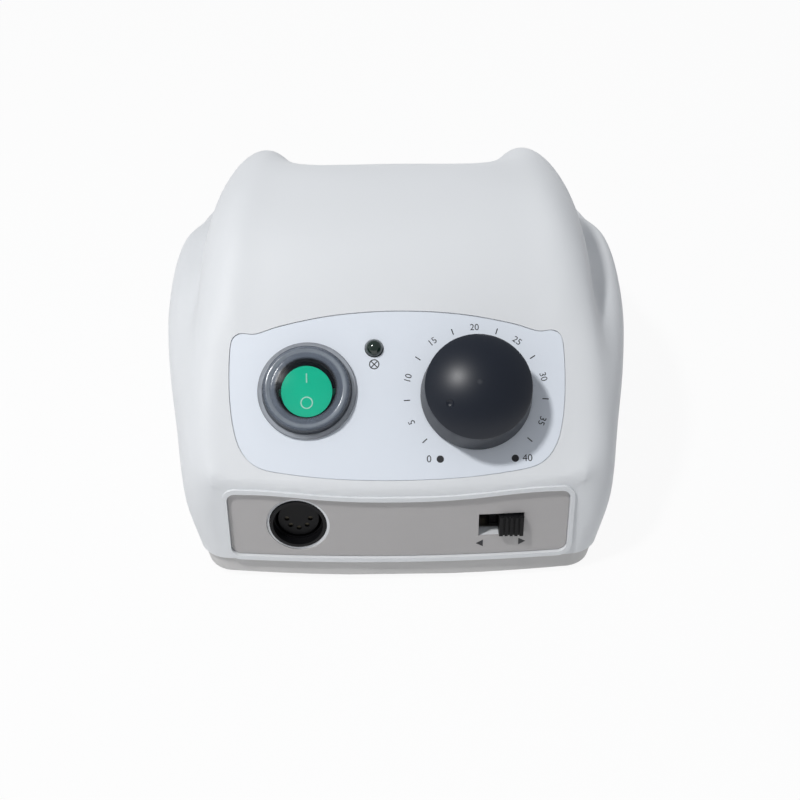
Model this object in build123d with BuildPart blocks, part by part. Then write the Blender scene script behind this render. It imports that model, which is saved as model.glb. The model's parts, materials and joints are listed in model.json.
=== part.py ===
"""Control unit of an electric nail drill: a white two-part case with a sloping control face,
power rocker under a clear boot, speed knob, pilot lamp, handpiece socket and direction switch.

Millimetres. X runs to the right as seen from the front, Y to the rear, Z up.
The origin lies on the ground, under the middle of the whole part.
"""

import os
from math import cos, hypot, radians, sin, sqrt, tan

from build123d import *

os.makedirs("parts", exist_ok=True)

# Clearances and overruns
overrun = 5.0
seat_gap = 0.2
thread_gap = 0.05
blind_depth = 1.3

# Case
case_width = 146.0
case_depth = 156.0
case_height = 91.0
case_wall = 2.5
foot_height = 2.0
seam_height = 7.4
base_step = 0.8
front_height = 33.3
front_lean = 3.6
front_bow_radius = 520.0
face_slope = 42.0
brow_radius = 4.5
front_corner_radius = 8.0
rear_corner_radius = 9.0
roof_radius_share = 1.005
section_bottom = -4.0
lean_rounds = 8

# Plan and height lines of the case, one share per station from front to rear.
# Widths are shares of half the case width, heights are shares of the roof height at the station.
station_shares = [
    -0.04, 0.013, 0.1, 0.135, 0.205, 0.295, 0.385, 0.487, 0.59, 0.692, 0.795, 0.897, 0.987, 1.064,
]
sill_width_shares = [
    0.733, 0.756, 0.79, 0.801, 0.822, 0.842, 0.858, 0.867, 0.87, 0.867, 0.853, 0.826, 0.788, 0.74,
]
bulge_width_shares = [
    0.808, 0.836, 0.875, 0.888, 0.915, 0.948, 0.973, 0.99, 1.0, 0.997, 0.975, 0.935, 0.88, 0.82,
]
bulge_height_shares = [0.6, 0.62, 0.64, 0.64, 0.63, 0.6, 0.545, 0.525, 0.52, 0.53, 0.58, 0.64, 0.7, 0.76]
crest_width_shares = [
    0.8, 0.823, 0.857, 0.867, 0.888, 0.904, 0.912, 0.922, 0.927, 0.917, 0.888, 0.846, 0.795, 0.74,
]
crest_height_shares = [
    0.84, 0.83, 0.83, 0.83, 0.83, 0.78, 0.725, 0.69, 0.675, 0.675, 0.705, 0.775, 0.83, 0.86,
]
groove_width_shares = [
    0.77, 0.792, 0.822, 0.83, 0.841, 0.844, 0.847, 0.853, 0.856, 0.842, 0.812, 0.768, 0.72, 0.672,
]
groove_height_shares = [
    0.95, 0.945, 0.931, 0.925, 0.905, 0.83, 0.745, 0.695, 0.668, 0.672, 0.71, 0.785, 0.85, 0.89,
]
hood_width_shares = [
    0.734, 0.751, 0.777, 0.784, 0.793, 0.8, 0.803, 0.803, 0.792, 0.762, 0.722, 0.678, 0.636, 0.596,
]
hood_height_shares = [
    0.99, 0.99, 0.983, 0.98, 0.965, 0.92, 0.875, 0.83, 0.82, 0.825, 0.85, 0.885, 0.93, 0.955,
]
edge_width_shares = [
    0.671, 0.678, 0.687, 0.688, 0.685, 0.671, 0.648, 0.615, 0.58, 0.545, 0.52, 0.505, 0.492, 0.48,
]
# The roof falls to the rear, and a trough for the handpiece lies between its two horns.
horn_drop_shares = [0, 0, 0, 0, 0, 0, 0, 0, 0, 0.024, 0.13, 0.238, 0.33, 0.41]
trough_depth_shares = [0, 0, 0, 0, 0, 0, 0, 0, 0, 0.075, 0.115, 0.093, 0.055, 0.033]
flank_rise_share = 0.42
flank_width_share = 0.62
trough_bank_shares = [(0.075, 0.5), (0.16, 0.96)]
bow_width_shares = (0.3, 0.5, 0.67, 0.84, 1.0)
nose_angles = (80, 70, 60, 50, 40, 30, 20, 10, 0)
end_angles = (90, 72, 54, 36, 18, 0)
lean_end_share = 0.3

# Control face label, in its own plane
label_width = 97.0
label_height = 50.0
label_brow_gap = 2.9
label_shares = [
    (0, 1.0), (0.22, 0.985), (0.45, 0.935), (0.63, 0.865), (0.77, 0.79), (0.87, 0.74), (0.935, 0.75),
    (0.976, 0.705), (0.996, 0.57), (1.0, 0.29), (0.992, -0.07), (0.969, -0.37), (0.936, -0.58), (0.845, -0.8),
    (0.7, -0.888), (0.41, -0.96), (0, -0.99),
]
label_thickness = 0.4
label_pocket_depth = 0.6
label_gap = 0.2

# Front label, in the front plane
strip_width = 98.2
strip_low = 7.6
strip_high = 29.6
strip_dip = 2.0
strip_top_shares = [(1.0, 0.12), (0.9, 0.02), (0.78, 0.0), (0.64, 0.2), (0.46, 0.6), (0.24, 0.92), (0, 1.0)]
strip_corner_radius = 2.5
strip_thickness = 0.4
strip_pocket_depth = 0.8
lip_width = 1.6
lip_height = 0.6

# Power rocker switch
switch_x = -26.0
switch_v = 1.5
switch_body_radius = 9.9
bezel_radius = 11.5
bezel_height = 2.0
bezel_opening_radius = 8.3
bezel_chamfer = 0.5
switch_body_depth = 19.0
switch_well_depth = 10.5
rocker_radius = 7.35
rocker_pivot_depth = 2.5
rocker_tilt = 8.0
rocker_rim_height = 5.0
rocker_dish_radius = 34.0
rocker_skirt_depth = 1.5
rocker_stem_width = 5.0
rocker_stem_depth = 5.2
trunnion_radius = 1.2
trunnion_reach = 9.0
terminal_width = 4.8
terminal_thickness = 0.8
terminal_length = 7.0
terminal_pitch = 5.6
terminal_count = 3

# Clear boot over the rocker
boot_flange_radius = 14.3
boot_flange_height = 1.0
boot_rim_radius = 12.7
boot_window_radius = 9.2
boot_height = 4.4
boot_crown = 0.9
boot_skin = 0.6

# Pilot lamp
lamp_x = -6.6
lamp_v = 14.0
lamp_radius = 2.55
lamp_stand = 1.4
lamp_flange_radius = 2.95
lamp_flange_height = 1.0
lamp_clip_radius = 4.2
lamp_clip_height = 3.2
lamp_lead_radius = 0.3
lamp_lead_length = 14.0
lamp_lead_pitch = 2.54

# Speed knob and potentiometer
knob_x = 22.7
knob_v = -0.3
knob_foot_radius = 16.1
knob_rim_radius = 15.1
knob_skirt_height = 11.0
knob_dome_height = 5.6
knob_rim_fillet = 0.5
knob_lift = 1.0
knob_hub_radius = 5.0
knob_hub_depth = 3.2
knob_recess_radius = 12.4
knob_recess_depth = 9.0
knob_dimple_radius = 1.1
knob_dimple_ring = 10.4
knob_dimple_angle = 213.6
knob_dimple_sink = 0.45
shaft_radius = 3.0
shaft_rise = 12.0
pot_thread_radius = 3.5
pot_thread_height = 5.6
pot_thread_bore = 3.06
pot_body_radius = 8.4
pot_body_depth = 9.0
pot_nut_width = 10.0
pot_nut_height = 2.0
pot_washer_radius = 5.6
pot_washer_height = 0.6
pot_terminal_size = (1.6, 7.0, 0.5)
pot_terminal_pitch = 5.0
pot_terminal_count = 3

# Handpiece socket
socket_x = -29.2
socket_rise = 18.8
socket_outer_radius = 8.2
socket_collar_radius = 7.25
socket_collar_length = 3.0
socket_recess = 1.2
socket_ring_width = 0.8
socket_sleeve_radius = 6.8
socket_core_radius = 5.9
socket_length = 16.0
socket_back = 2.0
socket_flange_size = (29.0, 15.2, 1.5)
slider_rib_count = 5
slider_groove_width = 0.5
socket_screw_pitch = 22.4
contact_ring_radius = 3.4
contact_radius = 0.72
contact_tail = 4.0
contact_count = 5
contact_step = 45.0
contact_middle_angle = 270.0
small_screw_radius = 1.1
small_head_radius = 2.0
small_head_height = 1.1

# Direction switch
direction_x = 29.7
direction_rise = 18.1
direction_slot_size = (13.2, 7.8)
direction_knob_size = (7.1, 6.8)
direction_knob_reach = 0.2
direction_body_size = (20.0, 10.4, 7.0)
direction_plate_size = (29.0, 10.4, 0.6)
direction_screw_pitch = 24.4
slide_wall = 1.0
slide_foot_height = 2.2
slide_base_height = 1.2
switch_pin_size = (1.0, 0.5, 3.5)
switch_pin_pitch = (4.6, 3.6)
switch_pin_counts = (3, 2)

# Rear panel, positions as seen from behind
rear_row_height = 22.0
inlet_x = 31.0
inlet_flange_size = (36.0, 17.0, 2.0)
inlet_body_size = (21.0, 12.6, 15.0)
inlet_mouth_size = (15.8, 8.8)
inlet_mouth_depth = 11.0
inlet_pin_radius = 1.2
inlet_pin_length = 9.0
inlet_pin_pitch = 8.6
inlet_tail_length = 7.0
inlet_screw_pitch = 28.5
inlet_corner_radius = 3.0
panel_screw_radius = 1.5
panel_head_radius = 2.8
panel_head_height = 1.6
panel_screw_length = 6.5
fuse_x = -40.0
fuse_body_radius = 6.0
fuse_flange_radius = 8.0
fuse_flange_height = 2.0
fuse_body_length = 26.0
fuse_bore_radius = 4.2
fuse_cap_radius = 6.6
fuse_cap_height = 6.5
fuse_plug_radius = 4.0
fuse_plug_length = 5.0
fuse_slot_size = (8.0, 1.4, 1.2)
fuse_rib_count = 18
fuse_rib_radius = 0.5
fuse_link_radius = 2.6
fuse_glass_radius = 2.3
fuse_link_length = 20.0
fuse_link_cap_length = 5.0
fuse_nut_width = 17.0
fuse_nut_height = 3.0
jack_x = -22.0
jack_bore_radius = 3.22
jack_thread_radius = 4.5
jack_thread_stand = 3.0
jack_nut_width = 12.0
jack_nut_height = 2.2
jack_body_size = (15.0, 13.0, 16.0)
jack_spring_size = (2.4, 0.5, 3.5)
jack_spring_pitch = 4.5
jack_spring_count = 3
select_x = -1.0
select_slot_size = (9.6, 4.8)
select_knob_size = (4.6, 3.8)
select_knob_reach = 2.6
select_body_size = (14.0, 7.0, 6.0)
select_plate_size = (23.0, 7.0, 0.6)
select_screw_pitch = 18.6
vent_height = 39.0
vent_size = (2.4, 14.0)
vent_pitch = 5.0
vent_count = 13

# Case screws, their bosses and the feet
boss_radius = 4.0
boss_front = (50.0, -56.0)
boss_rear = (53.0, 52.0)
pad_radius = 5.6
pad_height = 2.4
case_screw_radius = 1.5
case_screw_length = 16.0
case_screw_head_radius = 2.9
case_screw_head_height = 2.0
head_pocket_radius = 3.4
head_pocket_depth = 2.4
pilot_depth = 14.0
foot_radius = 7.0
foot_front = (36.0, -60.0)
foot_rear = (40.0, 60.0)
foot_recess = 0.6
foot_draft = 0.7
lip_thickness = 1.4
lip_rise = 3.0
floor_vent_size = (3.0, 26.0)
floor_vent_pitch = 7.0
floor_vent_count = 7
cross_length_share = 1.3
cross_width_share = 0.3
cross_depth_share = 0.5

# Circuit board and what it carries
board_size = (84.0, 50.0, 1.6)
board_y = -29.0
standoff_height = 6.0
standoff_radius = 3.2
board_hole_pitch = (76.0, 42.0)
board_screw_radius = 1.25
board_hole_radius = 1.45
board_head_radius = 2.4
board_head_height = 1.6
board_screw_length = 6.0
capacitor_radius = 8.0
capacitor_height = 22.0
capacitor_edge_share = 0.0625
capacitor_places = [(20.0, 13.0), (32.0, -2.0)]
bridge_size = (15.0, 4.0, 13.0)
bridge_place = (2.0, 16.0)
sink_size = (24.0, 10.0, 20.0)
sink_web = 2.0
sink_fin_count = 5
sink_place = (-24.0, 12.0)
transistor_size = (10.0, 4.4, 15.0)
transistor_lift = 3.0
transistor_lead_size = (0.8, 0.7)
transistor_lead_pitch = 2.54
transistor_lead_count = 3
relay_size = (19.0, 15.5, 15.0)
relay_edge_share = 0.05
relay_place = (-28.0, -9.0)
chip_size = (9.6, 6.4, 3.3)
chip_places = [(-6.0, -4.0), (8.0, -4.0), (8.0, 6.0)]
resistor_radius = 1.2
resistor_length = 6.5
resistor_pitch = 4.0
resistor_count = 5
resistor_start = (-8.0, -16.0)
header_size = (12.0, 6.0, 7.0)
header_cavity_size = (9.6, 3.6)
header_floor = 1.75
header_places = [(18.0, -17.0), (-22.0, -20.5)]

# Mains transformer
core_size = (57.0, 30.0, 47.5)
core_y = 31.0
core_window_size = (9.5, 28.5)
coil_reach = 8.0
coil_cheek_height = 1.2
coil_cheek_step = 1.0
strap_thickness = 1.2
strap_width = 18.0
strap_foot = 13.0
strap_post_height = 3.0
strap_post_radius = 4.5
strap_screw_radius = 1.7
strap_head_radius = 3.0
strap_head_height = 2.0
strap_screw_length = 5.5
strap_hole_depth = 4.6

# Places that follow from the values above
half_width = case_width / 2
front_y = -case_depth / 2
rear_y = case_depth / 2
floor_top = foot_height + case_wall
wall_cut = 2 * case_wall
roof_radius = roof_radius_share * (case_height - front_height)
corner_y = front_y + (front_height - foot_height) * tan(radians(front_lean))
arc_start_z = case_height - roof_radius * (1 - cos(radians(face_slope)))
arc_start_y = corner_y + (arc_start_z - front_height) / tan(radians(face_slope))
roof_top_y = arc_start_y + roof_radius * sin(radians(face_slope))
face_reach = label_brow_gap + label_height / 2
face_plane = Plane(
    origin=(
        0,
        corner_y + face_reach * cos(radians(face_slope)),
        front_height + face_reach * sin(radians(face_slope)),
    ),
    x_dir=(1, 0, 0),
    z_dir=(0, -sin(radians(face_slope)), cos(radians(face_slope))),
)
front_plane = Plane(
    origin=(0, front_y, foot_height),
    x_dir=(1, 0, 0),
    z_dir=(0, -cos(radians(front_lean)), sin(radians(front_lean))),
)
rear_plane = Plane(origin=(0, rear_y, 0), x_dir=(-1, 0, 0), z_dir=(0, 1, 0))
sill_end = half_width * sill_width_shares[0]
front_bow_depth = front_bow_radius - sqrt(front_bow_radius**2 - sill_end**2)
front_seat = case_wall + front_bow_depth
front_cut = front_seat + case_wall
nose_depth = front_bow_depth + front_corner_radius
label_top = -label_pocket_depth + label_thickness
lip_low_y = front_y + (strip_low - lip_width) * sin(radians(front_lean))
front_reach = lip_low_y - lip_height * cos(radians(front_lean))
rear_reach = rear_y + fuse_flange_height + thread_gap + fuse_cap_height
case_shift = (front_reach + rear_reach) / 2


def at(plane, x, y, z=0):
    """The same plane moved to a point given in its own coordinates."""
    return Plane(origin=plane.from_local_coords((x, y, z)), x_dir=plane.x_dir, z_dir=plane.z_dir)


def save(piece, name):
    """Write one piece, set back so that the origin lies under the middle of the whole part."""
    placed = piece.moved(Location((0, -case_shift, 0)))
    placed.label = name
    export_step(placed, f"parts/{name}.step")


def cap_height(rim, crown, radius):
    """Height above its rim of a round cap with this crown, at a radius."""
    ball = (rim**2 + crown**2) / (2 * crown)
    return crown - ball + sqrt(ball**2 - radius**2)


def roof_height(y):
    """Height of the roof over the middle of the case: the face slope, then an arc up to the top."""
    if y < arc_start_y:
        return front_height + (y - corner_y) * tan(radians(face_slope))
    return case_height - roof_radius + sqrt(roof_radius**2 - (min(y, roof_top_y) - roof_top_y) ** 2)


def along(shares, y):
    """A table's share at a depth, on a straight line between its stations."""
    depths = [front_y + share * case_depth for share in station_shares]
    for low, high, first, last in zip(depths, depths[1:], shares, shares[1:]):
        if y <= high:
            return first + (last - first) * (y - low) / (high - low)
    return shares[-1]


def brow_drop(depth):
    """How far the rounded brow lies under the corner of front and face, at a depth behind the front."""
    lean, slope = radians(front_lean), radians(face_slope)
    tangent = brow_radius * tan((radians(90) - lean - slope) / 2)
    depth = max(depth, 0)
    reach = brow_radius - depth * cos(lean)
    if reach <= brow_radius * cos(radians(90) - lean - slope):
        return 0
    on_arc = sqrt(brow_radius**2 - reach**2) - tangent - depth * sin(lean)
    on_face = depth * tan(slope) / (cos(lean) - tan(slope) * sin(lean))
    return (on_face - on_arc) * cos(lean)


def bow_depth(x):
    """How far the bowed front lies behind its middle, at a distance to the side."""
    return front_bow_radius - sqrt(front_bow_radius**2 - x**2)


def case_section(y, inset=0, side_round=0, top_round=0, lean=0, width_share=1, brow_depth=None):
    """One cross-section of the case: sill, flank, bulge, crest, groove, hood, horn and trough."""
    roof = roof_height(y)
    for _ in range(lean_rounds):
        roof = roof_height(y + (roof - foot_height) * tan(radians(lean)))
    horn = roof - case_height * along(horn_drop_shares, y)
    trough = case_height * along(trough_depth_shares, y)
    sill = half_width * along(sill_width_shares, y)
    bulge = half_width * along(bulge_width_shares, y)
    bulge_z = horn * along(bulge_height_shares, y)
    edge = half_width * along(edge_width_shares, y)
    points = [
        (sill, section_bottom),
        (sill + flank_width_share * (bulge - sill), foot_height + flank_rise_share * (bulge_z - foot_height)),
        (bulge, bulge_z),
        (half_width * along(crest_width_shares, y), horn * along(crest_height_shares, y)),
        (half_width * along(groove_width_shares, y), horn * along(groove_height_shares, y)),
        (half_width * along(hood_width_shares, y), horn * along(hood_height_shares, y)),
        (edge, horn),
    ]
    corner = len(points) - 1
    points += [(edge - width * half_width, horn - depth * trough) for width, depth in trough_bank_shares]
    points.append((0, horn - trough))
    steepness = cos(radians(face_slope)) if y < arc_start_y else 1
    side = inset + side_round
    moved = []
    for index, (x, z) in enumerate(points):
        before = points[max(index - 1, 0)]
        after = points[min(index + 1, len(points) - 1)]
        run, rise = after[0] - before[0], after[1] - before[1]
        if index >= corner:
            run, rise = -1, 0
        length = hypot(run, rise)
        top = inset / steepness + top_round
        if brow_depth is not None:
            top += brow_drop(brow_depth - bow_depth(x * width_share))
        moved.append((x - side * rise / length, z + (top * run / length if index else 0)))
    outline = moved + [(-x, z) for x, z in reversed(moved[:-1])]
    upward = ((moved[1][0] - moved[0][0]) * width_share, moved[1][1] - moved[0][1])
    leaning = (0, -cos(radians(lean)), sin(radians(lean)))
    plane = Plane(origin=(0, y, foot_height), x_dir=(1, 0, 0), z_dir=leaning)
    outline = [(x * width_share, (z - foot_height) / cos(radians(lean))) for x, z in outline]
    with BuildSketch(plane) as section:
        with BuildLine():
            Line(outline[-1], outline[0])
            Spline(*outline, tangents=[upward, (upward[0], -upward[1])])
        make_face()
    return section.sketch


def case_nose(inset):
    """The front end of the case in narrow bands: the bowed front, then its rounded corners."""
    bend = front_corner_radius - inset
    sections = []
    for share in bow_width_shares:
        depth = bow_depth(share * sill_end)
        sections.append(case_section(front_y + inset + depth, inset, bend, 0, front_lean, share, depth))
    for angle in nose_angles:
        depth = front_bow_depth + bend * (1 - sin(radians(angle)))
        round_in = bend * (1 - cos(radians(angle)))
        sections.append(case_section(front_y + inset + depth, inset, round_in, 0, front_lean, 1, depth))
    with BuildPart() as nose:
        add(sections)
        loft(ruled=True)
    return nose.part


def case_body(inset, with_nose=False):
    """The solid inside the case skin moved inwards by inset, with a bowed or a flat front."""
    front_round = front_corner_radius - inset
    rear_round = rear_corner_radius - inset
    start = front_y + inset + front_bow_depth
    sections = []
    for angle in end_angles[-1:] if with_nose else end_angles:
        depth = front_round * (1 - sin(radians(angle)))
        round_in = front_round * (1 - cos(radians(angle)))
        sections.append(case_section(start + depth, inset, round_in, lean=front_lean))
    lean_end = front_y + lean_end_share * case_depth
    for share in station_shares:
        y = front_y + share * case_depth
        if front_y + nose_depth + overrun / 2 < y < rear_y - rear_corner_radius - overrun / 2:
            lean = front_lean * max(0, min(1, (lean_end - y) / (lean_end - front_y - nose_depth)))
            sections.append(case_section(y, inset, lean=lean))
    for angle in reversed(end_angles):
        depth = rear_round * (1 - sin(radians(angle)))
        round_in = rear_round * (1 - cos(radians(angle)))
        sections.append(case_section(rear_y - inset - depth, inset, round_in, round_in))
    with BuildPart() as body:
        add(sections)
        loft()
        if with_nose:
            add(case_nose(inset))
    return body.part


def front_drum(depth):
    """The bowed front surface moved inwards by a depth, as a large upright drum behind it."""
    centre = front_plane.from_local_coords((0, 0, -front_bow_radius))
    with BuildPart() as drum:
        with BuildSketch(Plane(origin=centre, x_dir=(1, 0, 0), z_dir=front_plane.y_dir)):
            Circle(front_bow_radius - depth)
        extrude(amount=case_height, both=True)
    return drum.part


def turning(plane):
    """The plane through a plane's axis in which a turned profile is drawn: radius, then height."""
    return Plane(origin=plane.origin, x_dir=plane.x_dir, z_dir=-plane.y_dir)


def turning_axis(plane):
    return Axis(plane.origin, plane.z_dir)


def label_sketch(plane, grow=0):
    """Outline of the control face label: a wide shield with rounded upper corners."""
    across, up = label_width / 2 + grow, label_height / 2 + grow
    half = [(x_share * across, y_share * up) for x_share, y_share in label_shares]
    outline = half + [(-x, y) for x, y in reversed(half[1:-1])]
    with BuildSketch(plane) as sketch:
        with BuildLine():
            Spline(*outline, periodic=True)
        make_face()
    return sketch.sketch


def strip_sketch(plane, grow=0):
    """Outline of the front label: straight below, dipping in the middle above."""
    across, low, high = strip_width / 2 + grow, strip_low - grow, strip_high + grow
    right = [(x_share * across, high - drop_share * strip_dip) for x_share, drop_share in strip_top_shares]
    top = right + [(-x, y) for x, y in reversed(right[:-1])]
    with BuildSketch(plane) as sketch:
        with BuildLine():
            Polyline(top[-1], (-across, low), (across, low), top[0])
            Spline(*top)
        make_face()
        fillet(sketch.vertices(), strip_corner_radius + grow)
    return sketch.sketch


def screws(planes, radius, length, head_radius, head_height):
    """Cross-head screws: each plane lies under a head, facing the screwdriver."""
    with BuildPart() as group:
        for plane in planes:
            with BuildSketch(plane):
                Circle(head_radius)
            extrude(amount=head_height)
            with BuildSketch(plane):
                Circle(radius)
            extrude(amount=-length)
            with BuildSketch(plane.offset(head_height)):
                Rectangle(head_radius * cross_length_share, head_radius * cross_width_share)
                Rectangle(head_radius * cross_width_share, head_radius * cross_length_share)
            extrude(amount=-head_height * cross_depth_share, mode=Mode.SUBTRACT)
    return group.part


def facing_in(plane, x, y, depth):
    """A plane inside the case at a depth under a wall's plane, facing inwards."""
    return Plane(origin=plane.from_local_coords((x, y, -depth)), x_dir=plane.x_dir, z_dir=-plane.z_dir)


def slide_switch(plane, wall, slot_size, knob_size, knob_reach, body_size, plate_size, screw_pitch):
    """A slide switch behind a wall: its frame, base, slider at the right-hand end, pins and screws."""
    ceiling = wall + plate_size[2] + slide_wall
    bottom = wall + plate_size[2] + body_size[2]
    cavity = (body_size[0] - 2 * slide_wall, body_size[1] - 2 * slide_wall)
    travel = slot_size[0] - knob_size[0] - 2 * seat_gap
    with BuildPart() as frame:
        with BuildSketch(plane.offset(-wall)):
            Rectangle(plate_size[0], plate_size[1])
        extrude(amount=-plate_size[2])
        with BuildSketch(plane.offset(-wall - plate_size[2])):
            Rectangle(body_size[0], body_size[1])
        extrude(amount=-body_size[2])
        with BuildSketch(plane.offset(-bottom)):
            Rectangle(*cavity)
        extrude(amount=bottom - ceiling, mode=Mode.SUBTRACT)
        with BuildSketch(plane.offset(-bottom)):
            Rectangle(*slot_size)
        extrude(amount=bottom, mode=Mode.SUBTRACT)
        with BuildSketch(plane.offset(-bottom)):
            with GridLocations(screw_pitch, 0, 2, 1):
                Circle(small_screw_radius + thread_gap)
        extrude(amount=bottom, mode=Mode.SUBTRACT)
    with BuildPart() as base:
        with BuildSketch(plane.offset(-bottom)):
            Rectangle(cavity[0] - thread_gap, cavity[1] - thread_gap)
        extrude(amount=slide_base_height)
        with BuildSketch(plane.offset(-bottom)):
            with GridLocations(*switch_pin_pitch, *switch_pin_counts):
                Rectangle(switch_pin_size[0] + thread_gap, switch_pin_size[1] + thread_gap)
        extrude(amount=slide_base_height, mode=Mode.SUBTRACT)
    with BuildPart() as pins:
        with BuildSketch(plane.offset(slide_base_height - bottom)):
            with GridLocations(*switch_pin_pitch, *switch_pin_counts):
                Rectangle(switch_pin_size[0], switch_pin_size[1])
        extrude(amount=-slide_base_height - switch_pin_size[2])
    foot_top = ceiling + seat_gap
    with BuildPart() as slider:
        with BuildSketch(at(plane, travel / 2, 0, -foot_top)):
            Rectangle(*knob_size)
        extrude(amount=foot_top + knob_reach)
        with BuildSketch(at(plane, travel / 2, 0, -foot_top)):
            Rectangle(cavity[0] - travel - 2 * seat_gap, cavity[1] - 2 * seat_gap)
        extrude(amount=-slide_foot_height)
        with BuildSketch(at(plane, travel / 2, 0, knob_reach)):
            with GridLocations(knob_size[0] / slider_rib_count, 0, slider_rib_count - 1, 1):
                Rectangle(slider_groove_width, knob_size[1])
        extrude(amount=-slider_groove_width, mode=Mode.SUBTRACT)
    heads = [facing_in(plane, side * screw_pitch / 2, 0, wall + plate_size[2]) for side in (-1, 1)]
    length = plate_size[2] + blind_depth - seat_gap
    fixings = screws(heads, small_screw_radius, length, small_head_radius, small_head_height)
    return frame.part, base.part, slider.part, pins.part, fixings


# Planes of the fittings
switch_plane = at(face_plane, switch_x, switch_v)
lamp_plane = at(face_plane, lamp_x, lamp_v)
knob_plane = at(face_plane, knob_x, knob_v)
socket_plane = at(front_plane, socket_x, socket_rise)
direction_plane = at(front_plane, direction_x, direction_rise)
inlet_plane = at(rear_plane, inlet_x, rear_row_height)
fuse_plane = at(rear_plane, fuse_x, rear_row_height)
jack_plane = at(rear_plane, jack_x, rear_row_height)
select_plane = at(rear_plane, select_x, rear_row_height)
foot_places = [(side * x, y) for x, y in (foot_front, foot_rear) for side in (-1, 1)]
boss_places = [(side * x, y) for x, y in (boss_front, boss_rear) for side in (-1, 1)]
board_top = floor_top + standoff_height + board_size[2]
boss_bottom = floor_top + pad_height + seat_gap
head_seat = foot_height + head_pocket_depth
core_bottom = floor_top + strap_post_height
strap_screw_x = core_size[0] / 2 + strap_thickness + strap_foot / 2
socket_hole_radius = socket_outer_radius + seat_gap
small_hole_radius = small_screw_radius + thread_gap

# Bodies that the case pieces are cut from
outer_body = case_body(0, with_nose=True)
step_body = case_body(base_step, with_nose=True)
inner_body = case_body(case_wall)
lip_body = case_body(case_wall + seat_gap)
lip_inner_body = case_body(case_wall + seat_gap + lip_thickness)

# Upper cover: one shell with the control face, the front, the sides and the rear wall
with BuildPart() as bosses:
    with BuildSketch(Plane.XY.offset(boss_bottom)):
        with Locations(*boss_places):
            Circle(boss_radius)
    extrude(amount=case_height)
    add(step_body, mode=Mode.INTERSECT)
with BuildPart() as strip_lip:
    add(extrude(strip_sketch(at(front_plane, 0, 0, -front_seat), lip_width), front_seat + overrun))
    add(front_drum(-lip_height), mode=Mode.INTERSECT)
with BuildPart() as strip_pocket:
    add(extrude(strip_sketch(at(front_plane, 0, 0, -front_seat), label_gap), front_seat + overrun))
    add(front_drum(strip_pocket_depth), mode=Mode.SUBTRACT)
with BuildPart() as upper_cover:
    add(outer_body)
    add(inner_body, mode=Mode.SUBTRACT)
    add(bosses.part)
    split(bisect_by=Plane.XY.offset(seam_height), keep=Keep.TOP)
    with BuildSketch(Plane.XY.offset(boss_bottom)):
        with Locations(*boss_places):
            Circle(case_screw_radius + thread_gap)
    extrude(amount=pilot_depth, mode=Mode.SUBTRACT)
    # Raised lip round the front label, and the two shallow label pockets
    add(strip_lip.part)
    add(strip_pocket.part, mode=Mode.SUBTRACT)
    pocket = label_sketch(at(face_plane, 0, 0, -label_pocket_depth), label_gap)
    add(extrude(pocket, label_pocket_depth + overrun), mode=Mode.SUBTRACT)
    # Holes in the control face
    with BuildSketch(at(face_plane, 0, 0, -wall_cut)):
        with Locations((switch_x, switch_v)):
            Circle(switch_body_radius + seat_gap)
        with Locations((lamp_x, lamp_v)):
            Circle(lamp_radius + seat_gap)
        with Locations((knob_x, knob_v)):
            Circle(pot_thread_radius + seat_gap)
    extrude(amount=wall_cut, mode=Mode.SUBTRACT)
    # Holes in the front
    with BuildSketch(at(front_plane, 0, 0, -front_cut)):
        with Locations((socket_x, socket_rise)):
            Circle(socket_hole_radius)
        with Locations((direction_x, direction_rise)):
            Rectangle(*direction_slot_size)
    extrude(amount=front_cut, mode=Mode.SUBTRACT)
    with BuildSketch(at(front_plane, 0, 0, -front_cut)):
        with Locations((socket_x, socket_rise)):
            with GridLocations(socket_screw_pitch, 0, 2, 1):
                Circle(small_hole_radius)
        with Locations((direction_x, direction_rise)):
            with GridLocations(direction_screw_pitch, 0, 2, 1):
                Circle(small_hole_radius)
    extrude(amount=case_wall + blind_depth, mode=Mode.SUBTRACT)
    # Holes in the rear wall
    with BuildSketch(rear_plane.offset(-wall_cut)):
        with Locations((inlet_x, rear_row_height)):
            Rectangle(inlet_body_size[0] + 2 * seat_gap, inlet_body_size[1] + 2 * seat_gap)
            with GridLocations(inlet_screw_pitch, 0, 2, 1):
                Circle(panel_screw_radius + thread_gap)
        with Locations((fuse_x, rear_row_height)):
            Circle(fuse_body_radius + seat_gap)
        with Locations((jack_x, rear_row_height)):
            Circle(jack_thread_radius + seat_gap)
        with Locations((select_x, rear_row_height)):
            Rectangle(*select_slot_size)
        with Locations((0, vent_height)):
            with GridLocations(vent_pitch, 0, vent_count, 1):
                SlotOverall(vent_size[1], vent_size[0], rotation=90)
    extrude(amount=2 * wall_cut, mode=Mode.SUBTRACT)
    with BuildSketch(rear_plane.offset(-wall_cut)):
        with Locations((select_x, rear_row_height)):
            with GridLocations(select_screw_pitch, 0, 2, 1):
                Circle(small_hole_radius)
    extrude(amount=case_wall + blind_depth, mode=Mode.SUBTRACT)
save(upper_cover.part, "upper_cover")

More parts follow.
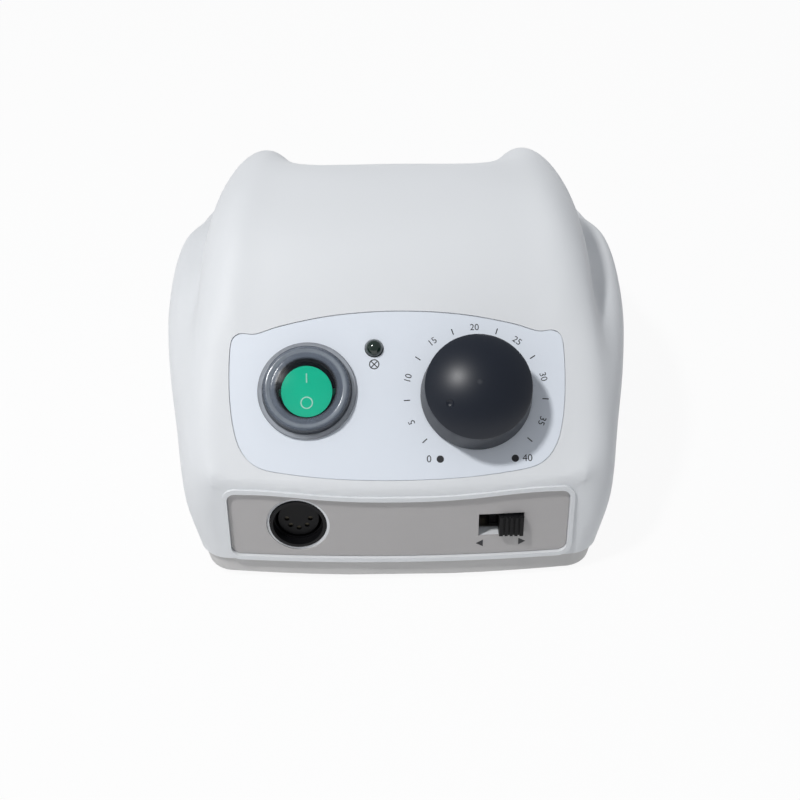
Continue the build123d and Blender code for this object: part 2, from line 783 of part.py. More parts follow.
# Base tray: set in a little under the cover, with a lip inside it and the posts for what it carries
with BuildPart() as tray_walls:
    add(lip_body)
    add(lip_inner_body, mode=Mode.SUBTRACT)
    split(bisect_by=Plane.XY.offset(floor_top), keep=Keep.TOP)
    split(bisect_by=Plane.XY.offset(seam_height + lip_rise), keep=Keep.BOTTOM)
with BuildPart() as tray_skirt:
    add(step_body)
    add(lip_inner_body, mode=Mode.SUBTRACT)
    split(bisect_by=Plane.XY.offset(floor_top), keep=Keep.TOP)
    split(bisect_by=Plane.XY.offset(seam_height), keep=Keep.BOTTOM)
with BuildPart() as base_tray:
    add(step_body)
    split(bisect_by=Plane.XY.offset(foot_height), keep=Keep.TOP)
    split(bisect_by=Plane.XY.offset(floor_top), keep=Keep.BOTTOM)
    add(tray_skirt.part)
    add(tray_walls.part)
    with BuildSketch(Plane.XY.offset(floor_top)):
        with Locations(*boss_places):
            Circle(pad_radius)
    extrude(amount=pad_height)
    with BuildSketch(Plane.XY.offset(floor_top)):
        with Locations((0, board_y)):
            with GridLocations(*board_hole_pitch, 2, 2):
                Circle(standoff_radius)
    extrude(amount=standoff_height)
    with BuildSketch(Plane.XY.offset(floor_top)):
        with Locations((0, core_y)):
            with GridLocations(2 * strap_screw_x, 0, 2, 1):
                Circle(strap_post_radius)
            Rectangle(core_size[0] - 2 * core_window_size[0], core_size[1])
    extrude(amount=strap_post_height)
    with BuildSketch(Plane.XY):
        with Locations(*boss_places):
            Circle(case_screw_radius + seat_gap)
    extrude(amount=case_height, mode=Mode.SUBTRACT)
    with BuildSketch(Plane.XY):
        with Locations(*boss_places):
            Circle(head_pocket_radius)
    extrude(amount=head_seat, mode=Mode.SUBTRACT)
    with BuildSketch(Plane.XY):
        with Locations(*foot_places):
            Circle(foot_radius + seat_gap)
    extrude(amount=foot_height + foot_recess, mode=Mode.SUBTRACT)
    with BuildSketch(Plane.XY.offset(floor_top + standoff_height - board_screw_length)):
        with Locations((0, board_y)):
            with GridLocations(*board_hole_pitch, 2, 2):
                Circle(board_screw_radius + thread_gap)
    extrude(amount=board_screw_length, mode=Mode.SUBTRACT)
    with BuildSketch(Plane.XY.offset(core_bottom - strap_hole_depth)):
        with Locations((0, core_y)):
            with GridLocations(2 * strap_screw_x, 0, 2, 1):
                Circle(strap_screw_radius + thread_gap)
    extrude(amount=strap_hole_depth, mode=Mode.SUBTRACT)
    with BuildSketch(Plane.XY):
        with Locations((0, board_y)):
            with GridLocations(floor_vent_pitch, 0, floor_vent_count, 1):
                SlotOverall(floor_vent_size[1], floor_vent_size[0], rotation=90)
    extrude(amount=floor_top, mode=Mode.SUBTRACT)
save(base_tray.part, "base_tray")

with BuildPart() as rubber_feet:
    for place in foot_places:
        foot_plane = Plane(origin=(*place, 0))
        with BuildSketch(turning(foot_plane)):
            Polygon(
                (0, 0),
                (foot_radius - foot_draft, 0),
                (foot_radius, foot_height),
                (foot_radius, foot_height + foot_recess),
                (0, foot_height + foot_recess),
                align=None,
            )
        revolve(axis=turning_axis(foot_plane))
save(rubber_feet.part, "rubber_feet")

case_screw_planes = [facing_in(Plane.XY.offset(head_seat), x, y, 0) for x, y in boss_places]
case_screws = screws(
    case_screw_planes, case_screw_radius, case_screw_length, case_screw_head_radius, case_screw_head_height
)
save(case_screws, "case_screws")

# Labels, let into the cover
with BuildPart() as face_label:
    add(extrude(label_sketch(at(face_plane, 0, 0, -label_pocket_depth)), label_thickness))
    with BuildSketch(at(face_plane, 0, 0, -label_pocket_depth)):
        with Locations((switch_x, switch_v)):
            Circle(switch_body_radius + label_gap)
        with Locations((lamp_x, lamp_v)):
            Circle(lamp_radius + label_gap)
        with Locations((knob_x, knob_v)):
            Circle(pot_thread_radius + label_gap)
    extrude(amount=label_pocket_depth, mode=Mode.SUBTRACT)
save(face_label.part, "face_label")

with BuildPart() as front_label:
    add(extrude(strip_sketch(at(front_plane, 0, 0, -front_seat)), front_seat + overrun))
    add(front_drum(strip_pocket_depth), mode=Mode.SUBTRACT)
    add(front_drum(strip_pocket_depth - strip_thickness), mode=Mode.INTERSECT)
    with BuildSketch(at(front_plane, 0, 0, -front_seat)):
        with Locations((socket_x, socket_rise)):
            Circle(socket_hole_radius + socket_ring_width)
        with Locations((direction_x, direction_rise)):
            Rectangle(*direction_slot_size)
    extrude(amount=front_seat, mode=Mode.SUBTRACT)
save(front_label.part, "front_label")

# Power switch: round housing in the control face, rocker, terminals and the clear boot over both
bezel_top = label_top + bezel_height
rocker_pivot = at(switch_plane, 0, 0, -rocker_pivot_depth)
with BuildPart() as switch_housing:
    with BuildSketch(switch_plane.offset(label_top)):
        Circle(bezel_radius)
    extrude(amount=bezel_height)
    chamfer(switch_housing.edges().sort_by(turning_axis(switch_plane))[-1], bezel_chamfer)
    with BuildSketch(switch_plane.offset(label_top)):
        Circle(switch_body_radius)
    extrude(amount=-switch_body_depth)
    with BuildSketch(switch_plane.offset(bezel_top)):
        Circle(bezel_opening_radius)
    extrude(amount=-bezel_height - switch_well_depth, mode=Mode.SUBTRACT)
    with BuildSketch(Plane(origin=rocker_pivot.origin, x_dir=rocker_pivot.y_dir, z_dir=rocker_pivot.x_dir)):
        Circle(trunnion_radius + thread_gap)
    extrude(amount=trunnion_reach + thread_gap, both=True, mode=Mode.SUBTRACT)
    with BuildSketch(switch_plane.offset(label_top - switch_body_depth)):
        with GridLocations(0, terminal_pitch, 1, terminal_count):
            Rectangle(terminal_width + thread_gap, terminal_thickness + thread_gap)
    extrude(amount=switch_body_depth, mode=Mode.SUBTRACT)
save(switch_housing.part, "switch_housing")

with BuildPart() as switch_terminals:
    with BuildSketch(switch_plane.offset(label_top - switch_well_depth)):
        with GridLocations(0, terminal_pitch, 1, terminal_count):
            Rectangle(terminal_width, terminal_thickness)
    extrude(amount=switch_well_depth - switch_body_depth - terminal_length)
save(switch_terminals.part, "switch_terminals")

tilted_up = rocker_pivot.y_dir * cos(radians(rocker_tilt)) + rocker_pivot.z_dir * sin(radians(rocker_tilt))
tilted_out = rocker_pivot.z_dir * cos(radians(rocker_tilt)) - rocker_pivot.y_dir * sin(radians(rocker_tilt))
rocker_plane = Plane(origin=rocker_pivot.origin, x_dir=rocker_pivot.x_dir, z_dir=tilted_out)
rocker_side_plane = Plane(origin=rocker_pivot.origin, x_dir=tilted_up, z_dir=rocker_pivot.x_dir)
with BuildPart() as switch_rocker:
    with BuildSketch(rocker_plane.offset(-rocker_skirt_depth)):
        Circle(rocker_radius)
    extrude(amount=rocker_skirt_depth + rocker_rim_height)
    with BuildSketch(rocker_side_plane):
        dish_sag = rocker_dish_radius - sqrt(rocker_dish_radius**2 - rocker_radius**2)
        with Locations((0, rocker_rim_height - dish_sag + rocker_dish_radius)):
            Circle(rocker_dish_radius)
    extrude(amount=rocker_radius, both=True, mode=Mode.SUBTRACT)
    with BuildSketch(rocker_plane.offset(-rocker_skirt_depth)):
        Rectangle(rocker_stem_width, rocker_stem_width)
    extrude(amount=rocker_skirt_depth - rocker_stem_depth)
    with BuildSketch(rocker_side_plane):
        Circle(trunnion_radius)
    extrude(amount=trunnion_reach, both=True)
save(switch_rocker.part, "switch_rocker")

boot_top = label_top + boot_height
boot_inside = boot_top - boot_skin
boot_half_crown = cap_height(boot_window_radius, boot_crown, boot_window_radius / 2)
with BuildPart() as switch_boot:
    with BuildSketch(turning(switch_plane)):
        with BuildLine():
            Polyline(
                (bezel_radius + seat_gap, label_top),
                (boot_flange_radius, label_top),
                (boot_flange_radius, label_top + boot_flange_height),
                (boot_rim_radius, label_top + boot_flange_height),
                (boot_rim_radius - boot_skin / 2, boot_top),
                (boot_window_radius, boot_top),
            )
            ThreePointArc(
                (boot_window_radius, boot_top),
                (boot_window_radius / 2, boot_top + boot_half_crown),
                (0, boot_top + boot_crown),
            )
            Line((0, boot_top + boot_crown), (0, boot_inside + boot_crown))
            ThreePointArc(
                (0, boot_inside + boot_crown),
                (boot_window_radius / 2, boot_inside + boot_half_crown),
                (boot_window_radius, boot_inside),
            )
            Polyline(
                (boot_window_radius, boot_inside),
                (bezel_radius + seat_gap, boot_inside),
                (bezel_radius + seat_gap, label_top),
            )
        make_face()
    revolve(axis=turning_axis(switch_plane))
save(switch_boot.part, "switch_boot")

# Pilot lamp, its clip behind the face and its two leads
lamp_bottom = -case_wall - lamp_flange_height
lamp_shoulder = label_top + lamp_stand - lamp_radius / 2
with BuildPart() as pilot_lamp:
    with BuildSketch(turning(lamp_plane)):
        with BuildLine():
            Polyline(
                (0, lamp_bottom),
                (lamp_flange_radius, lamp_bottom),
                (lamp_flange_radius, -case_wall),
                (lamp_radius, -case_wall),
                (lamp_radius, lamp_shoulder),
            )
            RadiusArc((lamp_radius, lamp_shoulder), (0, lamp_shoulder + lamp_radius), -lamp_radius)
            Line((0, lamp_shoulder + lamp_radius), (0, lamp_bottom))
        make_face()
    revolve(axis=turning_axis(lamp_plane))
    with BuildSketch(lamp_plane.offset(lamp_bottom)):
        with GridLocations(lamp_lead_pitch, 0, 2, 1):
            Circle(lamp_lead_radius + thread_gap)
    extrude(amount=lamp_flange_height, mode=Mode.SUBTRACT)
save(pilot_lamp.part, "pilot_lamp")

with BuildPart() as pilot_lamp_leads:
    with BuildSketch(lamp_plane.offset(-case_wall)):
        with GridLocations(lamp_lead_pitch, 0, 2, 1):
            Circle(lamp_lead_radius)
    extrude(amount=-lamp_flange_height - lamp_lead_length)
save(pilot_lamp_leads.part, "pilot_lamp_leads")

with BuildPart() as pilot_lamp_clip:
    with BuildSketch(lamp_plane.offset(-case_wall)):
        Circle(lamp_clip_radius)
        Circle(lamp_flange_radius + thread_gap, mode=Mode.SUBTRACT)
    extrude(amount=-lamp_clip_height)
save(pilot_lamp_clip.part, "pilot_lamp_clip")

# Speed control: knob, shaft, and the potentiometer with its washer and nut
knob_bottom = label_top + knob_lift
knob_ceiling = knob_bottom + knob_recess_depth
knob_height = knob_skirt_height + knob_dome_height
knob_half_height = knob_skirt_height + cap_height(knob_rim_radius, knob_dome_height, knob_rim_radius / 2)
dimple_height = knob_skirt_height + cap_height(knob_rim_radius, knob_dome_height, knob_dimple_ring)
with BuildPart() as speed_knob:
    with BuildSketch(turning(at(knob_plane, 0, 0, knob_bottom))) as profile:
        with BuildLine():
            Polyline(
                (0, knob_recess_depth),
                (knob_recess_radius, knob_recess_depth),
                (knob_recess_radius, 0),
                (knob_foot_radius, 0),
                (knob_rim_radius, knob_skirt_height),
            )
            ThreePointArc(
                (knob_rim_radius, knob_skirt_height),
                (knob_rim_radius / 2, knob_half_height),
                (0, knob_height),
            )
            Line((0, knob_height), (0, knob_recess_depth))
        make_face()
        fillet(profile.vertices().sort_by(Axis.X)[-2], knob_rim_fillet)
    revolve(axis=turning_axis(knob_plane))
    with BuildSketch(knob_plane.offset(knob_ceiling)):
        Circle(knob_hub_radius)
    extrude(amount=-knob_hub_depth)
    with BuildSketch(knob_plane.offset(knob_ceiling - knob_hub_depth)):
        Circle(shaft_radius + thread_gap)
    extrude(amount=shaft_rise + seat_gap + knob_hub_depth - knob_ceiling, mode=Mode.SUBTRACT)
    dimple_sphere_radius = (knob_dimple_radius**2 + knob_dimple_sink**2) / (2 * knob_dimple_sink)
    dimple_x = knob_dimple_ring * cos(radians(knob_dimple_angle))
    dimple_y = knob_dimple_ring * sin(radians(knob_dimple_angle))
    dimple_z = knob_bottom + dimple_height + dimple_sphere_radius - knob_dimple_sink
    with Locations(at(knob_plane, dimple_x, dimple_y, dimple_z)):
        Sphere(dimple_sphere_radius, mode=Mode.SUBTRACT)
save(speed_knob.part, "speed_knob")

with BuildPart() as pot_shaft:
    with BuildSketch(knob_plane.offset(-case_wall - pot_body_depth / 2)):
        Circle(shaft_radius)
    extrude(amount=case_wall + pot_body_depth / 2 + shaft_rise)
save(pot_shaft.part, "pot_shaft")

with BuildPart() as pot_body:
    with BuildSketch(knob_plane.offset(-case_wall)):
        Circle(pot_body_radius)
    extrude(amount=-pot_body_depth)
    with BuildSketch(knob_plane.offset(-case_wall)):
        Circle(pot_thread_radius)
    extrude(amount=case_wall + pot_thread_height)
    with BuildSketch(knob_plane.offset(-case_wall - pot_body_depth / 2 - seat_gap)):
        Circle(pot_thread_bore)
    extrude(amount=case_wall + pot_body_depth + pot_thread_height, mode=Mode.SUBTRACT)
save(pot_body.part, "pot_body")

with BuildPart() as pot_terminals:
    with BuildSketch(at(knob_plane, 0, -pot_body_radius, -case_wall - pot_body_depth / 2)):
        with GridLocations(pot_terminal_pitch, 0, pot_terminal_count, 1):
            Rectangle(pot_terminal_size[0], 2 * pot_terminal_size[1])
    extrude(amount=pot_terminal_size[2])
    with BuildSketch(knob_plane.offset(-case_wall)):
        Circle(pot_body_radius)
    extrude(amount=-pot_body_depth, mode=Mode.SUBTRACT)
save(pot_terminals.part, "pot_terminals")

with BuildPart() as pot_washer:
    with BuildSketch(knob_plane.offset(label_top)):
        Circle(pot_washer_radius)
        Circle(pot_thread_radius + thread_gap, mode=Mode.SUBTRACT)
    extrude(amount=pot_washer_height)
save(pot_washer.part, "pot_washer")

with BuildPart() as pot_nut:
    with BuildSketch(knob_plane.offset(label_top + pot_washer_height)):
        RegularPolygon(pot_nut_width / 2, 6, major_radius=False)
        Circle(pot_thread_radius + thread_gap, mode=Mode.SUBTRACT)
    extrude(amount=pot_nut_height)
save(pot_nut.part, "pot_nut")

# Handpiece socket: metal sleeve in a round hole, insulating core with five contacts, and its screws
socket_front = -socket_recess
socket_back_z = socket_front - socket_length
contact_turns = [index - (contact_count - 1) / 2 for index in range(contact_count)]
contact_angles = [contact_middle_angle + contact_step * turn for turn in contact_turns]
contact_places = [
    (contact_ring_radius * cos(radians(angle)), contact_ring_radius * sin(radians(angle)))
    for angle in contact_angles
]
with BuildPart() as handpiece_socket_sleeve:
    with BuildSketch(socket_plane.offset(socket_front)):
        Circle(socket_outer_radius)
    extrude(amount=-socket_length)
    with BuildSketch(socket_plane.offset(-front_seat)):
        Rectangle(socket_flange_size[0], socket_flange_size[1])
    extrude(amount=-socket_flange_size[2])
    with BuildSketch(socket_plane.offset(socket_front)):
        Circle(socket_collar_radius)
    extrude(amount=-socket_collar_length, mode=Mode.SUBTRACT)
    with BuildSketch(socket_plane.offset(socket_front)):
        Circle(socket_sleeve_radius)
    extrude(amount=socket_back - socket_length, mode=Mode.SUBTRACT)
    with BuildSketch(socket_plane.offset(socket_back_z)):
        with Locations(*contact_places):
            Circle(contact_radius + thread_gap)
    extrude(amount=socket_back, mode=Mode.SUBTRACT)
    with BuildSketch(socket_plane):
        with GridLocations(socket_screw_pitch, 0, 2, 1):
            Circle(small_hole_radius)
    extrude(amount=-front_cut, mode=Mode.SUBTRACT)
save(handpiece_socket_sleeve.part, "handpiece_socket_sleeve")

core_length = socket_length - socket_back - socket_collar_length
with BuildPart() as handpiece_socket_core:
    with BuildSketch(socket_plane.offset(socket_back_z + socket_back)):
        Circle(socket_core_radius)
    extrude(amount=core_length)
    with BuildSketch(socket_plane.offset(socket_back_z + socket_back)):
        Circle(socket_sleeve_radius - thread_gap)
    extrude(amount=socket_back)
    with BuildSketch(socket_plane.offset(socket_back_z)):
        with Locations(*contact_places):
            Circle(contact_radius + thread_gap)
    extrude(amount=socket_length, mode=Mode.SUBTRACT)
save(handpiece_socket_core.part, "handpiece_socket_core")

with BuildPart() as handpiece_socket_contacts:
    with BuildSketch(socket_plane.offset(socket_back_z + socket_back + core_length - contact_radius)):
        with Locations(*contact_places):
            Circle(contact_radius)
    extrude(amount=contact_radius - core_length - socket_back - contact_tail)
save(handpiece_socket_contacts.part, "handpiece_socket_contacts")

socket_head_depth = front_seat + socket_flange_size[2]
socket_heads = [
    facing_in(socket_plane, side * socket_screw_pitch / 2, 0, socket_head_depth) for side in (-1, 1)
]
socket_screw_length = socket_flange_size[2] + blind_depth - seat_gap
save(
    screws(socket_heads, small_screw_radius, socket_screw_length, small_head_radius, small_head_height),
    "handpiece_socket_screws",
)

# Slide switches: direction of turn at the front, hand or foot control at the rear
slide_values = {
    "direction_switch": (
        direction_plane, front_seat, direction_slot_size, direction_knob_size, direction_knob_reach,
        direction_body_size, direction_plate_size, direction_screw_pitch,
    ),
    "control_switch": (
        select_plane, case_wall, select_slot_size, select_knob_size, select_knob_reach,
        select_body_size, select_plate_size, select_screw_pitch,
    ),
}
for name, values in slide_values.items():
    pieces = slide_switch(*values)
    for piece, part_name in zip(pieces, ("frame", "base", "slider", "pins", "screws")):
        save(piece, f"{name}_{part_name}")

# Mains inlet in the rear wall, with its two pins and two screws
with BuildPart() as power_inlet_housing:
    with BuildSketch(inlet_plane):
        RectangleRounded(inlet_flange_size[0], inlet_flange_size[1], inlet_corner_radius)
    extrude(amount=inlet_flange_size[2])
    with BuildSketch(inlet_plane):
        Rectangle(inlet_body_size[0], inlet_body_size[1])
    extrude(amount=-inlet_body_size[2])
    with BuildSketch(inlet_plane.offset(inlet_flange_size[2])):
        SlotOverall(inlet_mouth_size[0], inlet_mouth_size[1])
    extrude(amount=-inlet_mouth_depth, mode=Mode.SUBTRACT)
    with BuildSketch(inlet_plane.offset(-inlet_body_size[2])):
        with GridLocations(inlet_pin_pitch, 0, 2, 1):
            Circle(inlet_pin_radius + thread_gap)
    extrude(amount=inlet_body_size[2], mode=Mode.SUBTRACT)
    with BuildSketch(inlet_plane):
        with GridLocations(inlet_screw_pitch, 0, 2, 1):
            Circle(panel_screw_radius + thread_gap)
    extrude(amount=inlet_flange_size[2], mode=Mode.SUBTRACT)
save(power_inlet_housing.part, "power_inlet_housing")

inlet_pin_tip = inlet_flange_size[2] - inlet_mouth_depth + inlet_pin_length
with BuildPart() as power_inlet_pins:
    with BuildSketch(inlet_plane.offset(inlet_pin_tip)):
        with GridLocations(inlet_pin_pitch, 0, 2, 1):
            Circle(inlet_pin_radius)
    extrude(amount=-inlet_pin_tip - inlet_body_size[2] - inlet_tail_length)
save(power_inlet_pins.part, "power_inlet_pins")

inlet_heads = [at(inlet_plane, side * inlet_screw_pitch / 2, 0, inlet_flange_size[2]) for side in (-1, 1)]
save(
    screws(inlet_heads, panel_screw_radius, panel_screw_length, panel_head_radius, panel_head_height),
    "power_inlet_screws",
)

# Fuse holder in the rear wall: body, nut, screw cap and the fuse link that comes out with it
cap_seat = fuse_flange_height + thread_gap
with BuildPart() as fuse_holder_body:
    with BuildSketch(fuse_plane):
        Circle(fuse_flange_radius)
    extrude(amount=fuse_flange_height)
    with BuildSketch(fuse_plane):
        Circle(fuse_body_radius)
    extrude(amount=-fuse_body_length)
    with BuildSketch(fuse_plane.offset(fuse_flange_height)):
        Circle(fuse_bore_radius)
    extrude(amount=-fuse_plug_length - fuse_link_length - seat_gap, mode=Mode.SUBTRACT)
save(fuse_holder_body.part, "fuse_holder_body")

with BuildPart() as fuse_holder_nut:
    with BuildSketch(fuse_plane.offset(-case_wall)):
        RegularPolygon(fuse_nut_width / 2, 6, major_radius=False)
        Circle(fuse_body_radius + thread_gap, mode=Mode.SUBTRACT)
    extrude(amount=-fuse_nut_height)
save(fuse_holder_nut.part, "fuse_holder_nut")

with BuildPart() as fuse_cap:
    with BuildSketch(fuse_plane.offset(cap_seat)):
        Circle(fuse_cap_radius - fuse_rib_radius)
        with PolarLocations(fuse_cap_radius - fuse_rib_radius, fuse_rib_count):
            Circle(fuse_rib_radius)
    extrude(amount=fuse_cap_height)
    with BuildSketch(fuse_plane.offset(cap_seat)):
        Circle(fuse_plug_radius)
    extrude(amount=-fuse_plug_length)
    with BuildSketch(fuse_plane.offset(cap_seat + fuse_cap_height)):
        Rectangle(fuse_slot_size[0], fuse_slot_size[1])
    extrude(amount=-fuse_slot_size[2], mode=Mode.SUBTRACT)
save(fuse_cap.part, "fuse_cap")

with BuildPart() as fuse_link:
    with BuildSketch(fuse_plane.offset(cap_seat - fuse_plug_length)):
        Circle(fuse_link_radius)
    extrude(amount=-fuse_link_cap_length)
    with BuildSketch(fuse_plane.offset(cap_seat - fuse_plug_length)):
        Circle(fuse_glass_radius)
    extrude(amount=-fuse_link_length)
    with BuildSketch(fuse_plane.offset(cap_seat - fuse_plug_length - fuse_link_length)):
        Circle(fuse_link_radius)
    extrude(amount=fuse_link_cap_length)
save(fuse_link.part, "fuse_link")

# Foot pedal jack in the rear wall
jack_inner = -case_wall - jack_body_size[2]
with BuildPart() as pedal_jack_body:
    with BuildSketch(jack_plane.offset(-case_wall)):
        Rectangle(jack_body_size[0], jack_body_size[1])
    extrude(amount=-jack_body_size[2])
    with BuildSketch(jack_plane.offset(-case_wall)):
        Circle(jack_thread_radius)
    extrude(amount=case_wall + jack_thread_stand)
    with BuildSketch(jack_plane.offset(jack_thread_stand)):
        Circle(jack_bore_radius)
    extrude(amount=jack_inner - jack_thread_stand, mode=Mode.SUBTRACT)
save(pedal_jack_body.part, "pedal_jack_body")

with BuildPart() as pedal_jack_nut:
    with BuildSketch(jack_plane):
        RegularPolygon(jack_nut_width / 2, 6, major_radius=False)
        Circle(jack_thread_radius + thread_gap, mode=Mode.SUBTRACT)
    extrude(amount=jack_nut_height)
save(pedal_jack_nut.part, "pedal_jack_nut")

with BuildPart() as pedal_jack_contacts:
    with BuildSketch(at(jack_plane, 0, jack_body_size[1] / 2 - jack_spring_size[1], jack_inner)):
        with GridLocations(jack_spring_pitch, 0, jack_spring_count, 1):
            Rectangle(jack_spring_size[0], jack_spring_size[1])
    extrude(amount=-jack_spring_size[2])
save(pedal_jack_contacts.part, "pedal_jack_contacts")

# Circuit board on four posts
board_plane = Plane(origin=(0, board_y, board_top))
with BuildPart() as circuit_board:
    with BuildSketch(board_plane):
        Rectangle(board_size[0], board_size[1])
        with GridLocations(*board_hole_pitch, 2, 2):
            Circle(board_hole_radius, mode=Mode.SUBTRACT)
    extrude(amount=-board_size[2])
save(circuit_board.part, "circuit_board")

board_screw_planes = [
    at(board_plane, x * board_hole_pitch[0] / 2, y * board_hole_pitch[1] / 2)
    for x in (-1, 1)
    for y in (-1, 1)
]
save(
    screws(board_screw_planes, board_screw_radius, board_screw_length, board_head_radius, board_head_height),
    "board_screws",
)

with BuildPart() as filter_capacitors:
    with BuildSketch(board_plane):
        with Locations(*capacitor_places):
            Circle(capacitor_radius)
    extrude(amount=capacitor_height)
    chamfer(filter_capacitors.edges().group_by(Axis.Z)[-1], capacitor_edge_share * capacitor_radius)
save(filter_capacitors.part, "filter_capacitors")

with BuildPart() as bridge_rectifier:
    with BuildSketch(at(board_plane, *bridge_place)):
        Rectangle(bridge_size[0], bridge_size[1])
    extrude(amount=bridge_size[2])
    chamfer(bridge_rectifier.edges().filter_by(Axis.Y).sort_by(Axis.Z)[-1], bridge_size[1] / 2)
save(bridge_rectifier.part, "bridge_rectifier")

fin_pitch = (sink_size[0] - sink_web) / (sink_fin_count - 1)
with BuildPart() as heat_sink:
    with BuildSketch(at(board_plane, *sink_place)):
        with Locations((0, (sink_web - sink_size[1]) / 2)):
            Rectangle(sink_size[0], sink_web)
        with GridLocations(fin_pitch, 0, sink_fin_count, 1):
            Rectangle(sink_web, sink_size[1])
    extrude(amount=sink_size[2])
save(heat_sink.part, "heat_sink")

with BuildPart() as power_transistor:
    transistor_y = sink_place[1] - sink_size[1] / 2 - transistor_size[1] / 2
    with BuildSketch(at(board_plane, sink_place[0], transistor_y, transistor_lift)):
        Rectangle(transistor_size[0], transistor_size[1])
    extrude(amount=transistor_size[2])
    with BuildSketch(at(board_plane, sink_place[0], transistor_y)):
        with GridLocations(transistor_lead_pitch, 0, transistor_lead_count, 1):
            Rectangle(*transistor_lead_size)
    extrude(amount=transistor_lift)
save(power_transistor.part, "power_transistor")

with BuildPart() as control_chips:
    with BuildSketch(board_plane):
        with Locations(*chip_places):
            Rectangle(chip_size[0], chip_size[1])
    extrude(amount=chip_size[2])
save(control_chips.part, "control_chips")

with BuildPart() as motor_relay:
    with BuildSketch(at(board_plane, *relay_place)):
        Rectangle(relay_size[0], relay_size[1])
    extrude(amount=relay_size[2])
    chamfer(motor_relay.edges().group_by(Axis.Z)[-1], relay_edge_share * relay_size[2])
save(motor_relay.part, "motor_relay")

with BuildPart() as board_headers:
    with BuildSketch(board_plane):
        with Locations(*header_places):
            Rectangle(header_size[0], header_size[1])
            Rectangle(*header_cavity_size, mode=Mode.SUBTRACT)
    extrude(amount=header_size[2])
    with BuildSketch(board_plane):
        with Locations(*header_places):
            Rectangle(header_size[0], header_size[1])
    extrude(amount=header_floor)
save(board_headers.part, "board_headers")

with BuildPart() as resistors:
    for index in range(resistor_count):
        x = resistor_start[0] + index * resistor_pitch
        ends = at(board_plane, x, resistor_start[1], resistor_radius)
        with BuildSketch(Plane(origin=ends.origin, x_dir=(1, 0, 0), z_dir=(0, 1, 0))):
            Circle(resistor_radius)
        extrude(amount=resistor_length / 2, both=True)
save(resistors.part, "resistors")

# Mains transformer on the tray: laminated core, coil on its bobbin, strap and two screws
core_plane = Plane(origin=(0, core_y, core_bottom + core_size[2] / 2))
limb_width = core_size[0] / 2 - core_window_size[0]
upright = Plane(origin=core_plane.origin, x_dir=(1, 0, 0), z_dir=(0, -1, 0))
with BuildPart() as transformer_core:
    with BuildSketch(upright):
        Rectangle(core_size[0], core_size[2])
        with GridLocations(core_window_size[0] + limb_width, 0, 2, 1):
            Rectangle(*core_window_size, mode=Mode.SUBTRACT)
    extrude(amount=core_size[1] / 2, both=True)
save(transformer_core.part, "transformer_core")

coil_height = core_window_size[1] - 2 * seat_gap
coil_width = limb_width + 2 * core_window_size[0] - 2 * seat_gap
coil_depth = core_size[1] + 2 * coil_reach
with BuildPart() as transformer_coil:
    with BuildSketch(core_plane):
        Rectangle(coil_width - 2 * coil_cheek_step, coil_depth - 2 * coil_cheek_step)
    extrude(amount=coil_height / 2, both=True)
    for side in (-1, 1):
        with BuildSketch(core_plane.offset(side * coil_height / 2)):
            Rectangle(coil_width, coil_depth)
        extrude(amount=-side * coil_cheek_height)
    with BuildSketch(core_plane):
        Rectangle(limb_width + 2 * seat_gap, core_size[1] + 2 * seat_gap)
    extrude(amount=core_size[2], both=True, mode=Mode.SUBTRACT)
save(transformer_coil.part, "transformer_coil")

with BuildPart() as transformer_strap:
    strap_span = core_size[0] + 2 * strap_thickness
    with BuildSketch(upright):
        with Locations((0, strap_thickness / 2)):
            Rectangle(strap_span, core_size[2] + strap_thickness)
        with Locations((0, (strap_thickness - core_size[2]) / 2)):
            Rectangle(strap_span + 2 * strap_foot, strap_thickness)
        Rectangle(core_size[0], core_size[2], mode=Mode.SUBTRACT)
    extrude(amount=strap_width / 2, both=True)
    with BuildSketch(Plane(origin=(0, core_y, core_bottom))):
        with GridLocations(2 * strap_screw_x, 0, 2, 1):
            Circle(strap_screw_radius + thread_gap)
    extrude(amount=strap_thickness, mode=Mode.SUBTRACT)
save(transformer_strap.part, "transformer_strap")

strap_planes = [
    Plane(origin=(side * strap_screw_x, core_y, core_bottom + strap_thickness)) for side in (-1, 1)
]
save(
    screws(strap_planes, strap_screw_radius, strap_screw_length, strap_head_radius, strap_head_height),
    "transformer_screws",
)
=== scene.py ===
"""Control box of an electric nail drill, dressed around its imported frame. Metres, +Z up, front to -Y."""

import json
from math import asin, cos, pi, radians, sin, sqrt

import bmesh
import bpy
from mathutils import Matrix, Quaternion, Vector


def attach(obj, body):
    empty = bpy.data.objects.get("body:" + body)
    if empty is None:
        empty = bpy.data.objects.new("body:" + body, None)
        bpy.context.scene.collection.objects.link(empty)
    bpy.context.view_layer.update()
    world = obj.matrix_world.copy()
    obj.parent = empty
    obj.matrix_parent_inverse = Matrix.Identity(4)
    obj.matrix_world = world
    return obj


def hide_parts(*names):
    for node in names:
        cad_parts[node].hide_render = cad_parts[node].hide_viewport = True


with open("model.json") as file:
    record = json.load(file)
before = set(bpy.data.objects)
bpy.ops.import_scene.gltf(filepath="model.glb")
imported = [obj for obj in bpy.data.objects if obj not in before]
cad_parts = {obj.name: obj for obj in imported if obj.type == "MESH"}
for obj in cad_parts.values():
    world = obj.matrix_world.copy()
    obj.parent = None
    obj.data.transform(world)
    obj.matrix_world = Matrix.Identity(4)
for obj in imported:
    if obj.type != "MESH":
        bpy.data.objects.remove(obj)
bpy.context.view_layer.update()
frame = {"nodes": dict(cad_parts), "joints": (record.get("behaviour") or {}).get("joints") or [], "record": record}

MM = 0.001
NODE_BODY = {node: body for body, nodes in frame["record"]["behaviour"]["bodies"].items() for node in nodes}
NODE_SLOT = {part["node"]: part["material_slot"] for part in frame["record"]["subparts"]}
JOINT = {joint["name"]: joint for joint in frame["joints"]}
